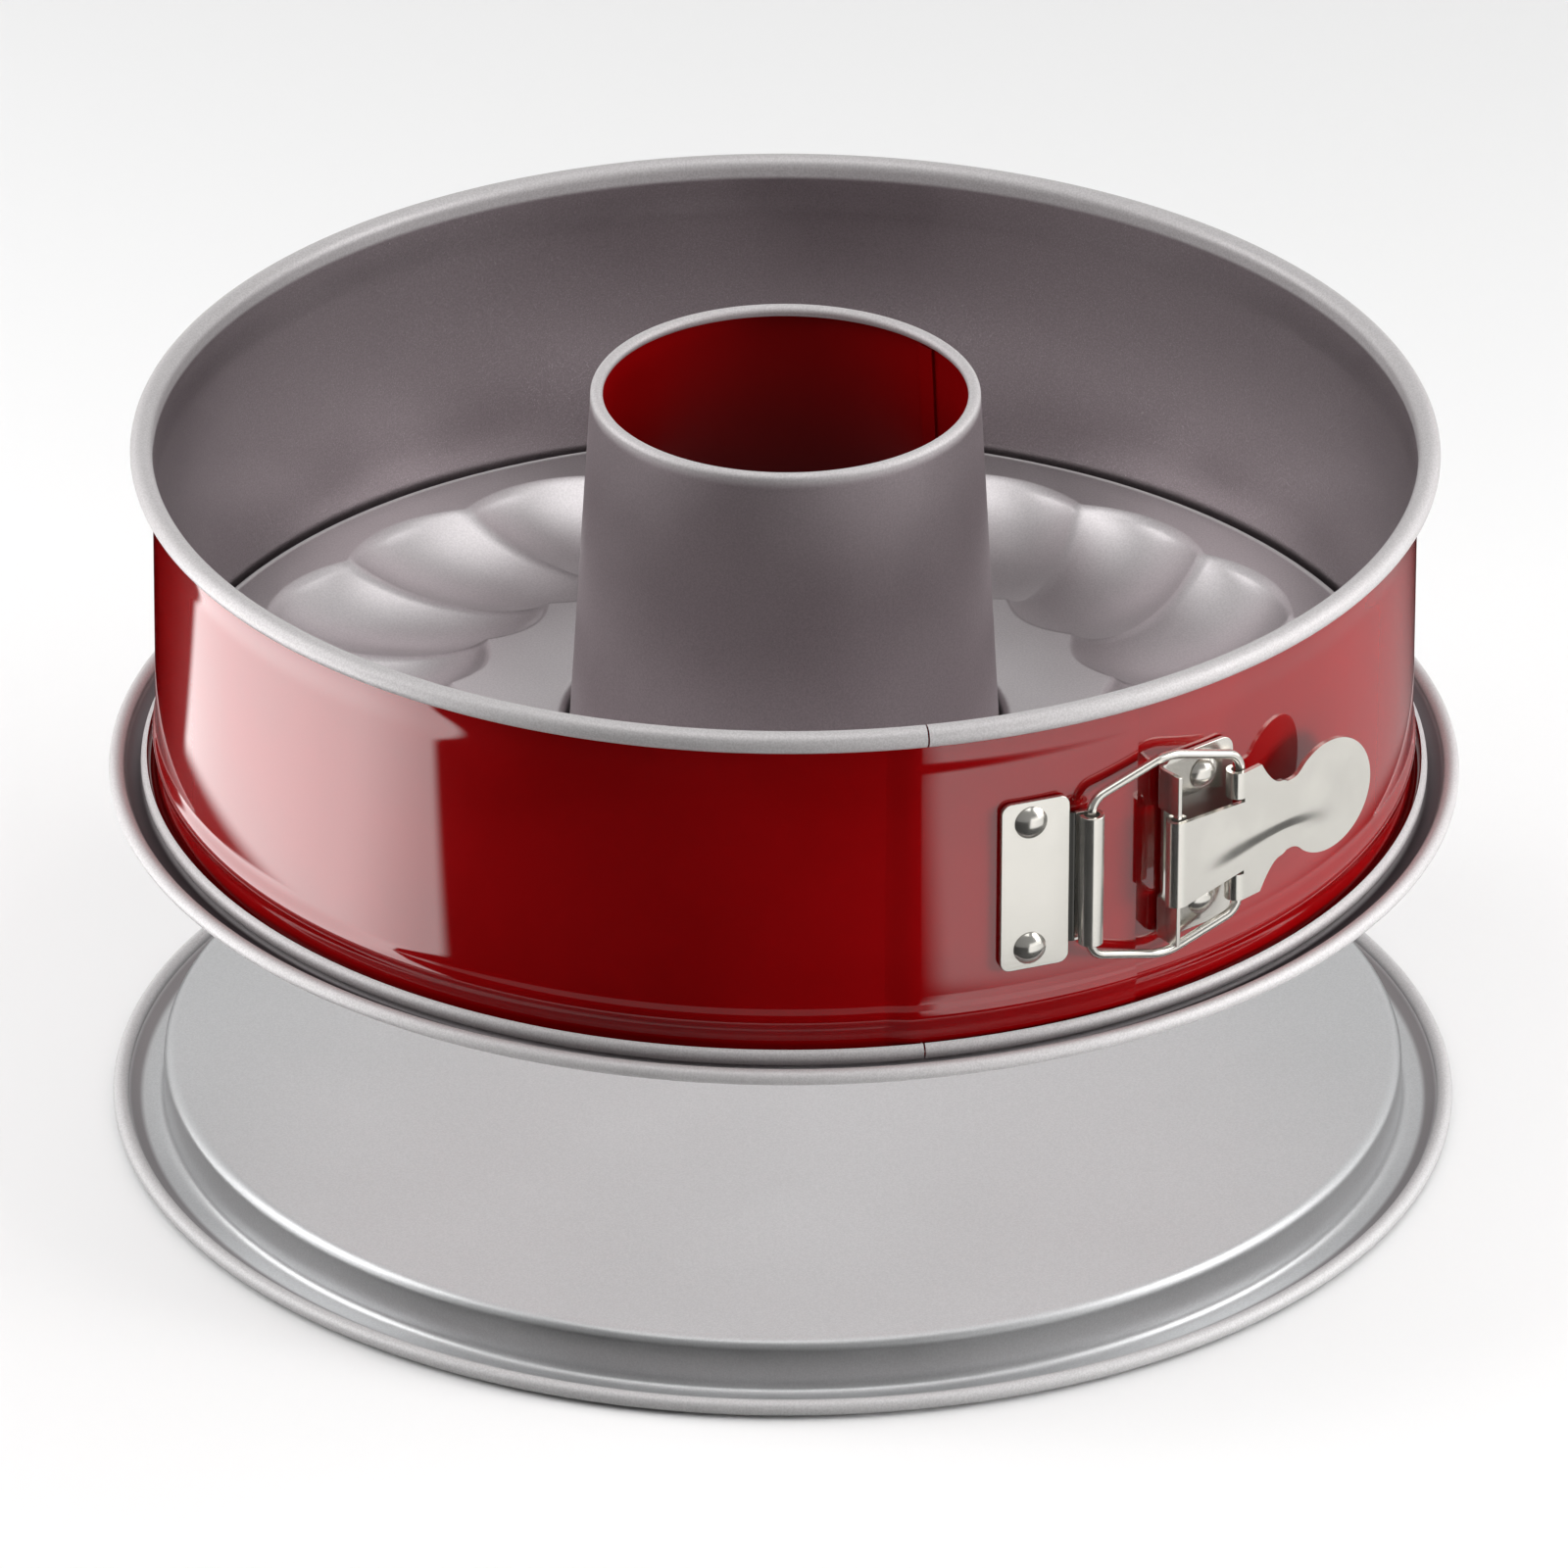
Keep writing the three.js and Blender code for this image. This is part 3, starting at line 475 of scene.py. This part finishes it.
def pressFlutes(bm):
    span = flutes["outerEdge"] - flutes["innerEdge"]
    pitch = math.tau / flutes["count"]
    for vert in bm.verts:
        radius = math.hypot(vert.co.x, vert.co.y)
        angle = math.atan2(vert.co.y, vert.co.x)
        beyond = (radius - flutes["innerEdge"]) / span
        if abs(beyond - 0.5) < 0.5 + flutes["borderPull"] * flutes["border"] / span:
            across = min(max(beyond, 0), 1)
            phase = ((angle - math.radians(flutes["phase"])) / pitch) % 1
            along = 1 - (2 * phase - 1) ** 2
            inner = flutes["innerEdge"] - flutes["innerSwell"] * along
            outer = flutes["outerEdge"] + flutes["outerSwell"] * along
            radius = inner + (outer - inner) * across + (beyond - across) * span
            bowl = (1 - abs(2 * across - 1) ** flutes["bowl"]) ** flutes["softness"]
            depth = flutes["ridgeDepth"] + (flutes["depth"] - flutes["ridgeDepth"]) * along
            vert.co.z -= bowl * depth
        inward = min(max((flutes["outerEdge"] - radius) / span, 0), 1)
        angle -= math.radians(flutes["lean"]) * inward
        vert.co.x = radius * math.cos(angle)
        vert.co.y = radius * math.sin(angle)


def savarinBase():
    low, high = nodeBox("savarin_base")
    plateHeight = high.z - low.z
    wire = Wire(flutes["collar"], flutes["collarFoot"])
    wire.line(flutes["collar"], plateHeight, flutes["collarRound"])
    wire.line(flutes["innerEdge"] - flutes["border"], plateHeight)
    wire.line(flutes["innerEdge"], plateHeight)
    wire.line(flutes["outerEdge"], plateHeight)
    wire.line(flutes["outerEdge"] + flutes["border"], plateHeight)
    drawRim(wire, plateHeight, high.x, baseRim["edgeRound"])
    bm = wire.mesh()
    ends = {flutes["innerEdge"], flutes["outerEdge"]}
    fluteEdge = [edge for edge in bm.edges if {round(vert.co.x, 2) for vert in edge.verts} == ends]
    bmesh.ops.subdivide_edges(bm, edges=fluteEdge, cuts=flutes["rings"] - 1)
    revolve(bm, flutes["count"] * flutes["turnsEach"], 90 + flutes["phase"])
    faceOut(bm, (baseRim["platePoint"], 0, plateHeight), (0, 0, 1))
    pressFlutes(bm)
    bmesh.ops.translate(bm, verts=bm.verts, vec=(0, 0, mouldFoot))
    coats = [baseGrey, underRed]
    addPiece("flutedPan", bm, "savarin", ["savarin_base"], coats, baseRim["sheet"],
             sharp=flutes["sharp"])


tubeSizes = {"footRadius": 45.0, "topRadius": 40.2, "footHeight": 5.0, "footRound": 0.8, "flange": 4.5,
             "rollRadius": 1.3, "rollTurn": 240, "rollSteps": 18, "sheet": 0.6, "edge": 0.08, "turns": 160,
             "seamAzimuth": 132.5, "seamDegrees": 5.7, "seamSteps": 4, "seamStop": 1.0, "middle": 40}


def chimneyTube():
    top = nodeBox("tube")[1].z - mouldFoot
    foot = tubeSizes["footHeight"]
    sheet = tubeSizes["sheet"]

    def radiusAt(height):
        rise = (height - foot) / (top - foot)
        return tubeSizes["footRadius"] + (tubeSizes["topRadius"] - tubeSizes["footRadius"]) * rise

    rollHeight = top - tubeSizes["rollRadius"]
    rollCentre = radiusAt(rollHeight) - tubeSizes["rollRadius"]
    wire = Wire(tubeSizes["footRadius"] + tubeSizes["flange"], foot + sheet)
    wire.line(tubeSizes["footRadius"], foot + sheet, tubeSizes["footRound"])
    wire.line(radiusAt(rollHeight), rollHeight)
    wire.bend(rollCentre, rollHeight, -tubeSizes["rollTurn"], tubeSizes["rollSteps"])
    middle = tubeSizes["middle"]
    tube = faceOut(revolve(wire.mesh(), tubeSizes["turns"]), (radiusAt(middle), 0, middle), (1, 0, 0))
    seamLow = foot + sheet + tubeSizes["seamStop"]
    seamHigh = top - 2 * tubeSizes["rollRadius"] - tubeSizes["seamStop"]
    fold = Wire(radiusAt(seamLow) - sheet, seamLow).line(radiusAt(seamHigh) - sheet, seamHigh)
    seamStart = tubeSizes["seamAzimuth"] - tubeSizes["seamDegrees"] / 2
    seam = revolve(fold.mesh(), tubeSizes["seamSteps"], seamStart, tubeSizes["seamDegrees"])
    faceOut(seam, (0, 0, middle), heading(tubeSizes["seamAzimuth"]))
    bm = joined(tube, seam)
    bmesh.ops.translate(bm, verts=bm.verts, vec=(0, 0, mouldFoot))
    coats = [tubeGrey, tubeRed]
    addPiece("chimney", bm, "savarin", ["tube"], coats, sheet, tubeSizes["edge"])


flatBase()
savarinBase()
chimneyTube()
print("bases and tube made")


# Ring band: rolled foot, groove, wall, shoulder and rolled rim, with a tongue over the seam
band = {"radius": 130.0, "sheet": 0.6, "edge": 0.08, "footRadius": 1.9, "footHeight": 3.1, "footEnd": 70,
        "footSteps": 14, "groove": 10.6, "grooveHalf": 3.4, "grooveDepth": 0.7, "shoulder": 63.5,
        "shoulderRise": 7.0, "shoulderStep": 0.6, "wallSteps": 96, "rollRadius": 2.3, "rollHeight": 75.0,
        "rollTurn": 295, "rollSteps": 22, "seam": 12.4, "seamGap": 0.3, "turns": 288, "tongueLap": 0.5,
        "tongueEnd": 32.9, "tongueRamp": 3.3, "tongueSheet": 0.5, "tongueLow": 4.4, "tongueHigh": 72.0,
        "tongueClear": 0.05, "tongueRise": 0.9, "tongueSteps": 60}
bandMiddle = (band["tongueLow"] + band["tongueHigh"]) / 2


def drawWall(wire, low, high):
    def bulge(height):
        groove = (height - band["groove"]) / band["grooveHalf"]
        press = band["grooveDepth"] * math.cos(groove * math.pi / 2) ** 2 if abs(groove) < 1 else 0
        shoulderTop = band["shoulder"] + band["shoulderRise"]
        return press + band["shoulderStep"] * easeIn(height, band["shoulder"], shoulderTop)

    for step in range(1, band["wallSteps"] + 1):
        height = low + (high - low) * step / band["wallSteps"]
        wire.line(band["radius"] + bulge(height), height)


def bandWall():
    footCentre = band["radius"] + band["footRadius"]
    end = math.radians(band["footEnd"])
    footTip = band["footHeight"] + band["footRadius"] * math.sin(end)
    wire = Wire(footCentre + band["footRadius"] * math.cos(end), footTip)
    wire.bend(footCentre, band["footHeight"], 180 + band["footEnd"], band["footSteps"])
    drawWall(wire, band["footHeight"], band["rollHeight"])
    rollCentre = band["radius"] + band["shoulderStep"] + band["rollRadius"]
    wire.bend(rollCentre, band["rollHeight"], band["rollTurn"], band["rollSteps"])
    gap = math.degrees(band["seamGap"] / band["radius"])
    bm = revolve(wire.mesh(), band["turns"], band["seam"] + gap / 2, 360 - gap)
    return faceOut(bm, (-band["radius"], 0, bandMiddle), (1, 0, 0))


def bandTongue():
    start = band["seam"] - band["tongueRamp"] - band["tongueLap"]
    wire = Wire(band["radius"], band["tongueLow"])
    drawWall(wire, band["tongueLow"], band["tongueHigh"])
    bm = revolve(wire.mesh(), band["tongueSteps"], start, band["tongueEnd"] - start)
    for vert in bm.verts:  # it lies on the wall at its start and climbs over the other end
        azimuth = math.degrees(math.atan2(vert.co.y, vert.co.x)) + 90
        climb = band["tongueRise"] * easeIn(azimuth, start, start + band["tongueRamp"])
        radius = math.hypot(vert.co.x, vert.co.y)
        stretch = (radius + band["tongueClear"] + climb) / radius
        vert.co.x *= stretch
        vert.co.y *= stretch
    out = heading((start + band["tongueEnd"]) / 2)
    return faceOut(bm, band["radius"] * out + Vector((0, 0, bandMiddle)), -out)


def ringBand():
    wall = bandWall()
    tongue = bandTongue()
    for part in (wall, tongue):
        bmesh.ops.translate(part, verts=part.verts, vec=(0, 0, mouldFoot))
    coats = [wallGrey, wallRed]
    addPiece("ringWall", wall, "ring", ["ring_band"], coats, band["sheet"], band["edge"])
    addPiece("ringTongue", tongue, "ring", [], coats, band["tongueSheet"], band["edge"])


ringBand()
print("ring made")


# Clasp: parts are drawn flat, x along the wall, y up and z outwards, then stood up on the ring
clasp = {"hookAzimuth": 22.0, "bracketAzimuth": 40.0, "leverAzimuth": 46.0, "sheet": 1.0, "rivetSpread": 14.3,
         "rollRadius": 2.3, "plateEdge": 0.18, "leverEdge": 0.15}
claspHeight = (nodeBox("hook_plate")[0].z + nodeBox("hook_plate")[1].z) / 2
axisPoint = Vector((0, 0, claspHeight))


def standUp(bm, azimuth, origin=axisPoint):
    up = Matrix.Rotation(math.pi / 2, 4, "X")
    turn = Matrix.Rotation(math.radians(azimuth), 4, "Z")
    bmesh.ops.transform(bm, matrix=Matrix.Translation(origin) @ turn @ up, verts=bm.verts)
    return bm


def roundedPlate(left, right, half, depth, corner):
    bm = bmesh.new()
    spots = ((left, -half), (right, -half), (right, half), (left, half))
    bm.faces.new([bm.verts.new((x, y, depth)) for x, y in spots])
    roundCorners(bm, bm.verts[:], corner)
    return faceOut(bm, (0, 0, depth), (0, 0, 1))


hook = {"left": -6.4, "right": 8.5, "half": 19.0, "back": 131.8, "corner": 2.2, "knuckle": 12.6,
        "knuckleHalf": 14.6, "rollRadius": 2.6, "turn": 285, "rollSteps": 30, "lap": 0.8, "sink": 0.25,
        "sunkTo": 0.5, "levelFrom": 1.0, "foldEdge": 0.2}


def hookPlate():
    right, back, knuckleAt, roll = hook["right"], hook["back"], hook["knuckle"], hook["rollRadius"]
    flat = roundedPlate(hook["left"], right, hook["half"], back + clasp["sheet"], hook["corner"])
    sunk = back - hook["sink"]  # the knuckle's strip starts a little behind the plate
    wire = Wire(right - hook["lap"], sunk).line(right + hook["sunkTo"], sunk)
    wire.line(right + hook["levelFrom"], back).line(knuckleAt - roll - hook["foldEdge"], back)
    wire.line(knuckleAt, back).bend(knuckleAt, back + roll, -hook["turn"], hook["rollSteps"])
    knuckle = widen(wire.mesh(), -hook["knuckleHalf"], hook["knuckleHalf"])
    faceOut(knuckle, (right, 0, back), (0, 0, -1))
    # the strip beside the knuckle gets the dark nickel copy, as painted shade
    for face in knuckle.faces:
        face.material_index = 1 if face.calc_center_median().x < knuckleAt - roll else 0
    bm = standUp(joined(flat, knuckle), clasp["hookAzimuth"])
    coats = [nickel, foldShadeNickel]
    plate = addPiece("hookPlate", bm, "ring", ["hook_plate"], coats, clasp["sheet"],
                     clasp["plateEdge"])
    plate.modifiers["sheet"].material_offset = 0  # each face keeps its coat on both sides
    plate.modifiers["sheet"].material_offset_rim = 0


bracket = {"left": -12.0, "right": 8.0, "half": 20.5, "back": 130.9, "corner": 3.0, "flangeHalf": 19.3,
           "window": 10.2, "bend": 1.6, "tip": 138.15, "barBack": 136.45}


def bracketFlange(wire, low, high):
    strip = widen(wire.mesh(), low, high)
    return faceOut(strip, (bracket["left"], (low + high) / 2, bracket["tip"]), (-1, 0, 0))


def leverBracket():
    left, back, tip, window = bracket["left"], bracket["back"], bracket["tip"], bracket["window"]
    front = back + clasp["sheet"]
    flat = roundedPlate(left + bracket["bend"], bracket["right"], bracket["half"], front, bracket["corner"])
    parts = [flat]
    for low, high in ((window, bracket["flangeHalf"]), (-bracket["flangeHalf"], -window)):
        cheek = Wire(0, back).line(left, back, bracket["bend"]).line(left, tip)
        parts.append(bracketFlange(cheek, low, high))
    bar = Wire(left, bracket["barBack"]).line(left, tip)  # the lever turns on it
    parts.append(bracketFlange(bar, -window, window))
    bm = standUp(joined(*parts), clasp["bracketAzimuth"])
    addPiece("leverBracket", bm, "ring", ["lever_bracket"], [nickel], clasp["sheet"],
             clasp["plateEdge"])


rivetSizes = {"head": 3.5, "rise": 1.6, "brim": 0.2, "domeSteps": 10, "turns": 40}


def rivets():
    head, rise = rivetSizes["head"], rivetSizes["rise"]
    dome = (head * head + rise * rise) / (2 * rise)  # radius of the dome's sphere
    domeTurn = math.degrees(math.asin(head / dome))
    for azimuth, back, node in (
        (clasp["hookAzimuth"], hook["back"], "hook_plate_rivet"),
        (clasp["bracketAzimuth"], bracket["back"], "bracket_rivet"),
    ):
        seat = back + clasp["sheet"]
        top = seat + rise + rivetSizes["brim"]
        for side, label in ((1, "upper"), (-1, "lower")):
            wire = Wire(0, top).bend(0, top - dome, domeTurn, rivetSizes["domeSteps"]).line(head, seat)
            bm = revolve(wire.mesh(), rivetSizes["turns"])
            bmesh.ops.holes_fill(bm, edges=bm.edges[:], sides=0)
            bmesh.ops.recalc_face_normals(bm, faces=bm.faces)
            bmesh.ops.translate(bm, verts=bm.verts, vec=(0, side * clasp["rivetSpread"], 0))
            standUp(bm, azimuth)
            addPiece(f"{node}Dome_{label}", bm, "ring", [f"{node}_{label}"], [nickel])


hookPlate()
leverBracket()
rivets()

# The lever's x starts at the pivot, and its face lies one roll radius above it
leverSizes = {"tongueHalf": 9.6, "rootHalf": 7.8, "turn": 280, "ear": 17.6, "earTurn": 195,
              "shoulderHalf": 14.5, "shoulder": 22.5, "shoulderCurve": 1.7, "waist": 28.3, "waistHalf": 8.6,
              "neckEnd": 35.0, "pad": 42.8, "padRadius": 12.4, "rows": 96, "columns": 40, "rootColumns": 24,
              "tongueRows": 20, "turnSteps": 32, "earSteps": 24, "ribFrom": 3.0, "ribFull": 16,
              "ribSlimFrom": 6, "ribFade": 4, "ribTo": 50.0, "ribWide": 4.8, "ribSlim": 2.9, "ribPad": 4.2,
              "ribSoft": 1.6, "creaseCurve": 1.5, "ribHeight": 0.4, "touch": 0.01}
leverFace = clasp["rollRadius"]


def leverHalf(x):  # half width past the ears: shoulder, waist, neck, round pad
    size = leverSizes
    pad = math.sqrt(max(0, size["padRadius"] ** 2 - (x - size["pad"]) ** 2))
    if x < size["waist"]:
        drop = min(max((x - size["shoulder"]) / (size["waist"] - size["shoulder"]), 0), 1)
        flare = (size["shoulderHalf"] - size["waistHalf"]) * (1 - drop) ** size["shoulderCurve"]
        return size["waistHalf"] + flare
    if x < size["neckEnd"]:
        share = (x - size["waist"]) / (size["neckEnd"] - size["waist"])
        return size["waistHalf"] + (pad - size["waistHalf"]) * share * share
    return pad


def ribRise(x, y):  # raised rib, slim over the waist: a crease along its lower side, soft along its upper
    size = leverSizes
    width = size["ribWide"]
    width += (size["ribSlim"] - size["ribWide"]) * easeIn(x, size["ribSlimFrom"], size["waist"])
    width += (size["ribPad"] - size["ribSlim"]) * easeIn(x, size["waist"], size["pad"])
    ends = easeIn(x, size["ribFrom"], size["ribFull"])
    ends *= 1 - easeIn(x, size["pad"] - size["ribFade"], size["ribTo"])
    soft = max(0, 1 - (y / (size["ribSoft"] * width)) ** 2) ** 2
    crease = max(0, 1 - (y / width) ** 2) ** size["creaseCurve"]
    sharp = (1 - easeIn(x, size["waist"], size["pad"])) if y < 0 else 0
    return size["ribHeight"] * ends * (soft + (crease - soft) * sharp)


def cutAcross(strip, cuts):  # columns across a widened strip
    across = [edge for edge in strip.edges if abs(edge.verts[0].co.y - edge.verts[1].co.y) > 1]
    bmesh.ops.subdivide_edges(strip, edges=across, cuts=cuts, use_grid_fill=True)


def leverPlate():  # the middle columns run on into the tongue, the outer ones into the ears
    size = leverSizes
    reach = size["pad"] + size["padRadius"] - size["ear"]
    inner = size["rootColumns"] / size["columns"]
    plate = bmesh.new()
    bmesh.ops.create_grid(plate, x_segments=size["rows"], y_segments=size["columns"], size=1)
    for vert in plate.verts:
        x = size["ear"] + reach * math.sin((vert.co.x + 1) * math.pi / 4)  # rows crowd towards the round tip
        half = leverHalf(x)
        root = size["rootHalf"] + (inner * half - size["rootHalf"]) * easeIn(x, size["ear"], size["waist"])
        side = abs(vert.co.y)
        y = root * side / inner if side <= inner else root + (half - root) * (side - inner) / (1 - inner)
        vert.co = (x, math.copysign(y, vert.co.y), leverFace)
    return faceOut(plate, (size["waist"], 0, leverFace), (0, 0, 1))


def leverTongue():  # tapers from the plate to the bar, and rolls round it
    size = leverSizes
    wire = Wire(size["ear"], leverFace).line(0, leverFace, steps=size["tongueRows"])
    wire.bend(0, 0, -size["turn"], size["turnSteps"])
    tongue = widen(wire.mesh(), -1, 1)
    cutAcross(tongue, size["rootColumns"] - 1)
    for vert in tongue.verts:
        taper = max(vert.co.x, 0) / size["ear"] if vert.co.z > leverFace - size["touch"] else 0
        vert.co.y *= size["tongueHalf"] + (size["rootHalf"] - size["tongueHalf"]) * taper
    return faceOut(tongue, (size["ear"] / 2, 0, leverFace), (0, 0, 1))


def leverEars():  # curled round the bail's ends, one column clear of the tongue
    size = leverSizes
    spare = (size["columns"] - size["rootColumns"]) // 2
    slot = size["rootHalf"] + (size["shoulderHalf"] - size["rootHalf"]) / spare
    ears = []
    for low, high in ((slot, size["shoulderHalf"]), (-size["shoulderHalf"], -slot)):
        curl = Wire(size["ear"], leverFace).bend(size["ear"], 0, -size["earTurn"], size["earSteps"])
        ear = widen(curl.mesh(), low, high)
        cutAcross(ear, spare - 2)
        ears.append(faceOut(ear, (size["ear"] - leverFace, (low + high) / 2, 0), (-1, 0, 0)))
    return ears


def lever():
    touch = leverSizes["touch"]
    bm = joined(leverPlate(), leverTongue(), *leverEars())
    bmesh.ops.remove_doubles(bm, verts=bm.verts, dist=touch)
    for vert in bm.verts:
        if vert.co.z > leverFace - touch:
            vert.co.z += ribRise(vert.co.x, vert.co.y)
    standUp(bm, clasp["leverAzimuth"], jointPoint("lever_swing"))
    addPiece("lever", bm, "lever", ["lever"], [nickel], clasp["sheet"], clasp["leverEdge"])


lever()

bailSizes = {"wire": 1.0, "barHalf": 17.6, "bendReach": 18.5, "bendHalf": 22.8, "shoulderHalf": 17.6,
             "pinEnd": 9.2, "corner": 3.0, "slack": 0.8, "sides": 4, "sharp": 50}


def bail():
    size = bailSizes
    bar = jointPoint("bail_swing")
    along = math.radians(clasp["leverAzimuth"])
    pinReach = leverSizes["ear"] + size["slack"]
    pin = jointPoint("lever_swing") + pinReach * Vector((math.cos(along), math.sin(along), 0))
    reach = (pin - bar).length
    wire = Wire(reach, -size["pinEnd"])
    wire.line(reach, -size["shoulderHalf"], size["corner"])
    wire.line(size["bendReach"], -size["bendHalf"], size["corner"])
    wire.line(0, -size["barHalf"], size["corner"])
    wire.line(0, size["barHalf"], size["corner"])
    wire.line(size["bendReach"], size["bendHalf"], size["corner"])
    wire.line(reach, size["shoulderHalf"], size["corner"])
    wire.line(reach, size["pinEnd"])
    bm = wire.mesh()
    turn = Matrix.Rotation(math.atan2(pin.y - bar.y, pin.x - bar.x), 4, "Z")
    bmesh.ops.transform(bm, matrix=Matrix.Scale(mm, 4) @ Matrix.Translation(bar) @ turn, verts=bm.verts)
    piece = newObject("bailWire", bm)
    bpy.ops.object.select_all(action="DESELECT")
    bpy.context.view_layer.objects.active = piece
    piece.select_set(True)
    bpy.ops.object.convert(target="CURVE")  # the wire gets its round section as a curve
    piece.data.bevel_depth = size["wire"] * mm
    piece.data.bevel_resolution = size["sides"]
    piece.data.use_fill_caps = True
    bpy.ops.object.convert(target="MESH")
    piece.data.materials.clear()
    coatAndRide(piece, "bail", ["bail"], [nickel], size["sharp"])


bail()
print("clasp made")


# Floor and light, in metres
studio = {"floorSize": 6.0, "floorDrop": 0.0003, "floorColour": (0.84, 0.84, 0.84, 1), "lampAim": 0.08,
          "underSize": 0.27, "underPower": 0.15, "underGap": 0.002, "lamps": (
              # name, power, size and place
              ("topLamp", 8.2, 1.3, (0.0, -0.30, 1.5)),
              ("leftLamp", 6.8, 0.9, (-1.15, 0.0, 0.75)),
              ("rightLamp", 7.5, 0.9, (1.15, -0.15, 0.75)),
              ("leftFill", 8.0, 0.3, (-0.97, 0.17, 0.10)),
              ("rightFill", 9.0, 0.3, (0.98, -0.33, 0.15)),
          )}


def addLamp(name, power, size, place):
    lamp = bpy.data.lights.new(name, "AREA")
    lamp.energy = power
    lamp.size = size
    light = bpy.data.objects.new(name, lamp)
    light.location = place
    light.visible_camera = False
    bpy.context.collection.objects.link(light)
    return light


def underLamp():  # the flat base is lit on its own, by a soft disc in the gap under the mould
    place = (0, 0, mouldFoot * mm - studio["underGap"])
    light = addLamp("underLamp", studio["underPower"], studio["underSize"], place)
    light.data.shape = "DISK"


def studioLamps():
    for name, power, size, place in studio["lamps"]:
        light = addLamp(name, power, size, place)
        light.visible_glossy = not name.endswith("Fill")
        toMould = Vector((0, 0, studio["lampAim"])) - Vector(place)
        light.rotation_euler = toMould.to_track_quat("-Z", "Y").to_euler()


def degreesRound(graph, across, deep):  # direction round the mould: 0 to the front, 90 to +X
    return graph.add("ShaderNodeMath", {"operation": "ARCTAN2"}, {0: across, 1: 0 - deep}) * (180 / math.pi)


# Glowing cards on the floor that only reflections see, as painted reflections: fades are pairs of azimuths or
# of distances
floorCards = {"rightFrom": (19.0, 24.5), "rightTo": (125.0, 150.0), "rightLevel": 1.37, "rightFall": 0.0076,
              "rightNear": 0.314, "rightClosing": 0.000524, "rightBlur": 0.007, "leftFrom": (20.0, 30.0),
              "leftTo": (114.0, 117.0), "leftLevel": 2.4, "leftRise": 1.3, "leftRiseSpan": (53.0, 72.0),
              "leftDrop": 0.8, "leftDropSpan": (80.0, 112.0), "leftNear": (0.262, 0.276),
              "leftLine": (-0.3226, 0.9464, 0.1037), "leftBlur": (-0.006, 0.008)}


def floorCardLevel(graph):
    cards = floorCards
    across, deep = graph.split(graph.coords())[:2]
    azimuth = degreesRound(graph, across, deep)
    leftward = 0 - azimuth
    reach = graph.length(graph.coords())
    past = reach - cards["rightNear"] + cards["rightClosing"] * azimuth  # closer in towards the side
    right = graph.smooth(azimuth, *cards["rightFrom"]) * (1 - graph.smooth(azimuth, *cards["rightTo"]))
    right = right * graph.smooth(past, -cards["rightBlur"], cards["rightBlur"])
    right = right * (cards["rightLevel"] - cards["rightFall"] * azimuth)
    lineAcross, lineDeep, lineShift = cards["leftLine"]
    inside = lineAcross * across + lineDeep * deep + lineShift  # distance from its straight right edge
    left = graph.smooth(leftward, *cards["leftFrom"]) * (1 - graph.smooth(leftward, *cards["leftTo"]))
    left = left * graph.smooth(inside, *cards["leftBlur"]) * graph.smooth(reach, *cards["leftNear"])
    leftLevel = cards["leftLevel"] + cards["leftRise"] * graph.smooth(leftward, *cards["leftRiseSpan"])
    return right + left * (leftLevel - cards["leftDrop"] * graph.smooth(leftward, *cards["leftDropSpan"]))


def studioFloor():
    bm = bmesh.new()
    bmesh.ops.create_grid(bm, x_segments=1, y_segments=1, size=studio["floorSize"] / 2)
    bmesh.ops.translate(bm, verts=bm.verts, vec=(0, 0, -studio["floorDrop"]))
    floor = newObject("studioFloor", bm)
    plain = {"Base Color": studio["floorColour"], "Roughness": 1.0, "Specular IOR Level": 0.0}
    material, graph, _ = newMaterial("paleFloor", plain)
    tree = material.node_tree
    paint = Value(graph, tree.nodes["Principled BSDF"].outputs["BSDF"])
    card = graph.add("ShaderNodeEmission", None, {"Color": floorCardLevel(graph)})
    mirrored = graph.add("ShaderNodeLightPath", out="Is Glossy Ray")
    mixed = graph.add("ShaderNodeMixShader", None, {0: mirrored, 1: paint, 2: card})
    tree.links.new(mixed.socket, tree.nodes["Material Output"].inputs["Surface"])
    floor.data.materials.append(material)


# Backdrop: paler behind the mould than in front, with two cards for reflections, and plain to the camera
backdrop = {"front": 0.22, "back": 0.8, "turn": (-0.1, 0.7), "seen": 0.95, "cardLevel": 1.1,
            "cardTop": (0.12, 0.30), "leftFrom": (60.0, 64.0), "leftTo": (128.0, 136.0),
            "rightFrom": (24.0, 27.0), "rightTo": (115.0, 145.0)}


def studioWorld():
    world = bpy.data.worlds.new("studioWorld")
    bpy.context.scene.world = world
    world.use_nodes = True
    graph = Graph(world.node_tree)
    background = world.node_tree.nodes["Background"]
    background.inputs["Color"].default_value = (1, 1, 1, 1)
    across, deep, up = graph.split(graph.add("ShaderNodeTexCoord", out="Generated"))
    azimuth = degreesRound(graph, across, deep)
    leftward = 0 - azimuth
    left = graph.smooth(leftward, *backdrop["leftFrom"]) * (1 - graph.smooth(leftward, *backdrop["leftTo"]))
    right = graph.smooth(azimuth, *backdrop["rightFrom"]) * (1 - graph.smooth(azimuth, *backdrop["rightTo"]))
    cards = (right + left) * backdrop["cardLevel"] * (1 - graph.smooth(up, *backdrop["cardTop"]))
    glow = backdrop["front"] + (backdrop["back"] - backdrop["front"]) * graph.smooth(deep, *backdrop["turn"])
    glow = glow + cards * graph.add("ShaderNodeLightPath", out="Is Glossy Ray")
    seen = graph.add("ShaderNodeLightPath", out="Is Camera Ray")
    level = glow + (backdrop["seen"] - glow) * seen
    world.node_tree.links.new(level.socket, background.inputs["Strength"])


underLamp()
studioFloor()
studioWorld()
studioLamps()
bpy.context.scene.view_settings.view_transform = "Standard"
print("floor and light set")
